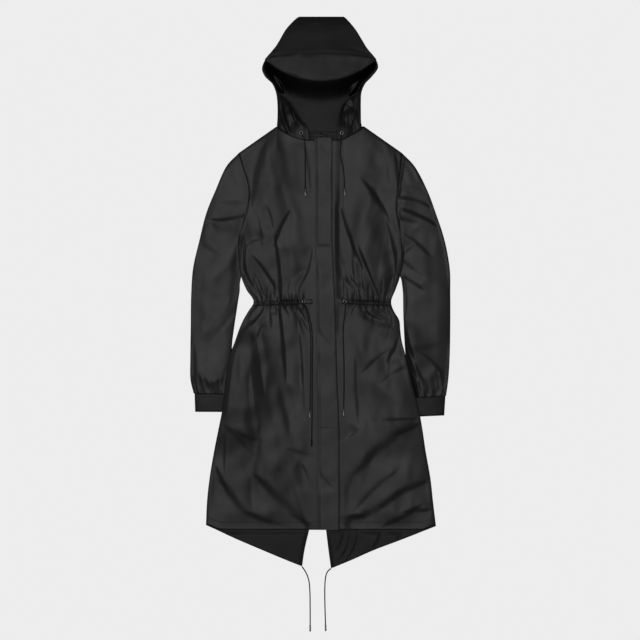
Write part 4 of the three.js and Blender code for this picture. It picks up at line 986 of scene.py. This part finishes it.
def hood_strip_grid():
    """Outer and inner points of the strip: its profile carried across, edges falling by the square and
    sweeping back by the fourth power of the distance from the middle."""
    rows = through(HOOD_STRIP, np.linspace(0, len(HOOD_STRIP) - 1, STRIP_ROWS))
    y, z, left, right, fall, sweep = (rows[:, [key]] for key in range(6))
    c = np.concatenate([[-1, -0.996], np.linspace(-0.98, 0.98, STRIP_COLUMNS - 4), [0.996, 1]])[None, :]
    row = np.arange(STRIP_ROWS)[:, None]
    x = left + (right - left) * (c + 1) / 2
    z = z + arch(x, y) * (row < NAPE_ROWS)
    grid = np.stack([x, y - sweep * c ** 4, np.maximum(z - fall * c ** 2, 0)], axis=-1)
    x, y, z = (grid[..., key] for key in range(3))
    upper = ease(33, 41, z) * (row > CROWN_ROW)
    dent = creases(CROWN_CREASES, x, y) + 1.2 * ripple(x, y, 80, 71)
    brim_seam = HOOD_STRIP[-1][0] - HOOD_STRIP[-1][5] * c ** 4
    near_seam = ease(0, 12, y - brim_seam)
    grid[..., 2] += upper * dent * near_seam * ease(1, 0.9, np.abs(c))
    normal = normals_of(grid)
    facing = np.sign(normal[-30, STRIP_COLUMNS // 2, 2])
    inner = grid - normal * facing * CLOTH
    return grid, inner


strip_outer, strip_inner = hood_strip_grid()
hood_centre = wall("hood-centre", strip_outer, strip_inner, [hood_cloth, hood_lining_painted_shade])
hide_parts("hood_centre")


# Hood, side panels: coated cloth, sewn to the centre strip. Each goes from that seam along the floor, round
# its outermost fold and in to the hemmed mouth edge, which holds the hood's cord.
SIDE_ROWS, SIDE_COLUMNS, FOLD_COLUMN = 160, 90, 46
# Centre of each eyelet and the height of the cloth under it
EYELETS = {
    "hood_eyelet_left": (-48, 399, 12.3), "hood_eyelet_right": (54, 399, 13.4),
    "waist_eyelet_left": (-41, -22, 10.9), "waist_eyelet_right": (61, -22, 9.4),
}
# Y, seam, outermost fold and its height, then the mouth edge's reach, Y and height
HOOD_SIDES = {
    "left": [
        (417.5, 50, 109, 9.4, 27, 380, 10.6), (424, 50, 108, 11.5, 31, 411, 13.5),
        (442, 50, 107, 16, 51, 437, 20), (476, 50, 107.5, 23, 76, 474, 29),
        (503, 50, 111.5, 28, 106, 501, 37), (522, 50, 120, 29, 116, 521, 42),
        (540, 50, 138, 30, 133, 540, 45.5), (559, 50, 145.5, 30, 141, 559, 46.5),
        (582, 50, 137.5, 28, 134, 582, 44), (607, 50, 118, 27, 114.5, 607, 45.8),
        (627, 50, 102.5, 25, 99, 627, 43.2), (657, 50, 85, 22, 81.5, 657, 39.2),
        (680, 51, 64, 20, 62, 680, 33.5), (687.5, 50.6, 54, 17, 53.4, 687.5, 25)],
    "right": [
        (417.5, 50, 104, 9.4, 41, 380, 10.6), (427, 50, 102, 13, 43, 425, 17),
        (455, 50, 101.5, 19, 48, 453, 24), (476, 50, 101.5, 23, 59, 474, 30),
        (503, 50, 103.5, 28, 98, 501, 38), (522, 50, 112, 29, 108, 521, 42),
        (540, 50, 129, 30, 124, 540, 45.5), (562, 50, 144, 30, 139.5, 562, 46.5),
        (582, 50, 139, 28, 135.5, 582, 44), (607, 50, 120, 27, 116.5, 607, 45.8),
        (627, 50, 105.5, 25, 102, 627, 43.2), (657, 50, 87, 22, 83.5, 657, 39.2),
        (680, 52, 68, 20, 66, 680, 33.5), (687.5, 54, 59, 17, 58.4, 687.5, 25)],
}
HOOD_CREASES = [
    (-94, 506, -90, 400, 0, -9, 4.0), (84, 498, 86, 410, 0, 9, 4.5),
    (-103, 502, -66, 388, -6, -5, 6.0), (-88, 480, -55, 396, 2, -4, 4.6), (-76, 470, -64, 438, 0, 3.4, 3.2),
    (-68, 456, -58, 426, 0, 3, 2.8), (-105, 454, -84, 398, 0, 5, 4.0), (-98, 430, -78, 388, 0, 4, 3.0),
    (91, 446, 67, 388, 0, -4.5, 5.4), (54, 456, 92, 488, 0, -9, 7.0), (64, 444, 66, 402, 0, 3, 3.0),
    (99, 488, 96, 426, 0, 5, 3.0), (79, 446, 74, 410, 0, 4, 2.4), (60, 470, 86, 452, 0, 5, 2.6),
]
# Soft ridges inside both lobes: start, end, width, height
INNER_RIDGES = [(-119, 546, -93, 502, 7, 15), (74, 497, 101, 543, 9, 15)]


def ridge(x, y, x0, y0, x1, y1, width):
    """Share of a soft leaf-shaped ridge: exp(-(d / w)^3) at the distance d from its line, where w follows
    half a sine along it."""
    share = ((x - x0) * (x1 - x0) + (y - y0) * (y1 - y0)) / ((x1 - x0) ** 2 + (y1 - y0) ** 2)
    share = np.clip(share, 0, 1)
    distance = np.hypot(x - x0 - (x1 - x0) * share, y - y0 - (y1 - y0) * share)
    return np.exp(-(distance / (width * (0.25 + 0.75 * np.sin(np.pi * share)))) ** 3)


def hood_side_grid(side):
    """Outer and inner points of a side panel: on each row a smooth section through the seam, the floor, the
    outermost fold and the mouth edge."""
    sign = -1 if side == "left" else 1
    rows = through(HOOD_SIDES[side], np.linspace(0, len(HOOD_SIDES[side]) - 1, SIDE_ROWS))
    places = np.concatenate([[0, 0.016], np.linspace(0.067, 6, SIDE_COLUMNS - 2)])
    sections = []
    for y, seam, fold_x, fold_z, rim_x, rim_y, rim_z in rows:
        inset = min(8, 0.3 * (fold_x - rim_x) + 1)
        floor_end = fold_x - min(10, (fold_x - seam) * 0.3)
        turn_x = fold_x - inset
        seam_z = np.interp(y, [645, 664, 681, 688], [0.3, 1.2, 5, 11])
        shape = [(seam, seam_z), ((seam + floor_end) / 2, seam_z * 0.8), (floor_end, seam_z * 0.6),
                 (fold_x, (fold_z + seam_z) / 2), (turn_x, fold_z),
                 ((turn_x + rim_x) / 2, (fold_z + rim_z) / 2), (rim_x, rim_z)]
        reach, z = through(shape, places).T
        share = np.clip((fold_x - reach) / max(fold_x - rim_x, 1), 0, 1)
        share[:FOLD_COLUMN] = 0
        along = y - (y - rim_y) * (1 - (1 - share) ** 2)
        sections.append(np.stack([sign * reach, along, np.maximum(z, 0)], axis=-1))
    grid = np.array(sections)
    normal = normals_of(grid)
    normal *= np.sign(normal[SIDE_ROWS // 4, SIDE_COLUMNS * 5 // 6, 2])
    x, y, z = (grid[..., key] for key in range(3))
    column = np.arange(SIDE_COLUMNS)[None, :]
    from_rim = np.linalg.norm(grid - grid[:, -1:], axis=-1)
    eyelet_x, eyelet_y, _ = EYELETS[f"hood_eyelet_{side}"]
    from_eyelet = ease(8, 34, np.hypot(x - eyelet_x, y - eyelet_y))
    on_top = ease(50, 60, column)
    dent = creases(HOOD_CREASES, x, y) * ease(2, 12, from_rim) + 0.5 * ripple(x, y, 34, 81)
    band = 0.9 * (1 - ease(8.5, 10.5, from_rim)) - 0.9 * np.exp(-((from_rim - 10.5) / 1.4) ** 2)
    outer = grid + normal * (on_top * (dent * from_eyelet + band * from_eyelet))[..., None]
    inner = outer - normal * CLOTH
    floor_part = ease(50, 30, column) * ease(0, 10, column)
    arched = arch(x, y) * ease(44, 12, column)
    outer[..., 2] += arched
    inner[..., 2] += arched
    for *line, width, level in INNER_RIDGES:
        inner[..., 2] += floor_part * ridge(x, y, *line, width) * np.maximum(level - inner[..., 2], 0)
    outer[..., 2] = np.maximum(outer[..., 2], 0)
    return outer, inner, (from_rim, y)


coated_casing = new_coated_finish("coated cloth, casing", (10.5,), 0.36)
for side in ("left", "right"):
    outer, inner, seam = hood_side_grid(side)
    panel = wall(f"hood-side-{side}", outer, inner, [coated_casing, hood_lining_painted_shade], seam=seam)
    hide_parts(f"hood_side_{side}")


# Hood brim: a stiffened double piece of the coated cloth, sewn to the crown's edge and standing over the
# face. Its free edge is stitched.
BRIM_LIFT = 3
BRIM_CLOTH = 1.5
BRIM_ROWS, BRIM_COLUMNS = 50, 110
BRIM_CREASES = [
    (-48, 574, -30, 536, 0, 16, 1.4), (-92, 556, -62, 546, 0, 6, 1.0), (20, 588, 100, 578, 0, 12, 1.0),
]


def brim_grid():
    """Outer points of the brim: from just forward of the crown's edge to its own curved edge."""
    share, c = np.meshgrid(np.linspace(0, 1, BRIM_ROWS), np.linspace(-1, 1, BRIM_COLUMNS), indexing="ij")
    crown_y, seam_z, left, right, fall, sweep = HOOD_STRIP[-1]
    x = left + (right - left) * (c + 1) / 2
    seam_y = crown_y - sweep * c ** 4 + SEAM_LAP
    edge_y = BRIM_TIP + BRIM_RISE * c ** 2
    y = seam_y + (edge_y - seam_y) * share
    z = seam_z - fall * c ** 2 + BRIM_LIFT * share * (1 - c ** 2)
    inside = ease(0, 0.2, share) * ease(1, 0.85, share) * ease(1, 0.85, np.abs(c))
    seam_dip = -0.4 * np.exp(-(((seam_y - y) / 2.4) ** 2)) * ease(0.95, 0.5, np.abs(c))
    z = z + seam_dip + inside * (creases(BRIM_CREASES, x, y) + 0.7 * ripple(x, y, 55, 91) + 1.2)
    return np.stack([x, y, z], axis=-1), (y - edge_y, x)


points, seam = brim_grid()
brim = wall("hood-brim", points, below(points, BRIM_CLOTH), [hood_edge, hood_lining_painted_shade], seam=seam)
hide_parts("hood_brim")


# Hanger loop: a short folded tape of dull black cloth, sewn inside the neck at both ends and standing up a
# little in the middle.
LOOP_LEFT, LOOP_LENGTH, LOOP_Y, LOOP_WIDTH = -23, 42, 396, 6
LOOP_FOOT, LOOP_RISE, LOOP_CLOTH = 3.4, 3.0, 0.9


def loop_grid():
    """Outer points of the loop: an arch of half a sine between its feet."""
    share, across = np.meshgrid(np.linspace(0, 1, 60), np.linspace(0, 1, 10), indexing="ij")
    rise = LOOP_FOOT + LOOP_RISE * np.sin(np.pi * share) + 0.25 * np.sin(np.pi * across)
    return np.stack([LOOP_LEFT + LOOP_LENGTH * share, LOOP_Y - LOOP_WIDTH * across, rise], axis=-1)


points = loop_grid()
loop = wall("hanger-loop", points, below(points, LOOP_CLOTH), [backing])
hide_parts("hanger_loop")


# Eyelets: pressed nickel rings with a rounded lip, set into the cloth round each cord's way out. Two are in
# the hems of the hood's mouth and two at the ends of the waist casings.
eyelet_finish = new_metal_finish("gunmetal eyelet", (0.3, 0.3, 0.305), 0.3, 1500.0)
# The near-black finish of the hole's disc is painted shade where the open barrel would look dark
eyelet_hole_painted_shade = new_metal_finish("painted shade in eyelet hole", (0.006, 0.006, 0.006), 0.6, 1500.0)
# Outline of the ring: distance from its axis and height. The first points close the hole with a near-black
# disc, painted shade in place of the open barrel
EYELET_SHAPE = [(0.02, -0.2), (0.02, 0.3), (2.5, 0.3), (2.6, 0.7), (2.75, 1.1), (3.1, 1.4), (3.6, 1.5),
                (4.2, 1.35), (4.7, 0.95), (4.95, 0.4), (5.0, 0.0), (4.4, -0.2), (3.2, -0.4)]
EYELET_SIDES, SHADE_DISC_POINTS = 64, 3
for eyelet_name, (x, y, z) in EYELETS.items():
    turn = np.linspace(0, 2 * np.pi, EYELET_SIDES, endpoint=False)[:, None]
    reach, level = np.array(EYELET_SHAPE).T
    heights = z + level + 0 * turn
    ring = np.stack([x + np.cos(turn) * reach, y + np.sin(turn) * reach, heights], axis=-1) * MM
    index = np.arange(ring.shape[0] * ring.shape[1]).reshape(ring.shape[:2])
    ahead, beside = np.roll(index, -1, axis=0), np.roll(index, -1, axis=1)
    faces = np.stack([index, ahead, np.roll(ahead, -1, axis=1), beside], axis=-1).reshape(-1, 4)
    on_painted_hole_shade = np.tile(np.arange(len(EYELET_SHAPE)) < SHADE_DISC_POINTS, EYELET_SIDES).astype(int)
    finishes = [eyelet_finish, eyelet_hole_painted_shade]
    eyelet = add_mesh(eyelet_name.replace("_", "-"), ring.reshape(-1, 3), faces, finishes, on_painted_hole_shade)
    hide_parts(eyelet_name)
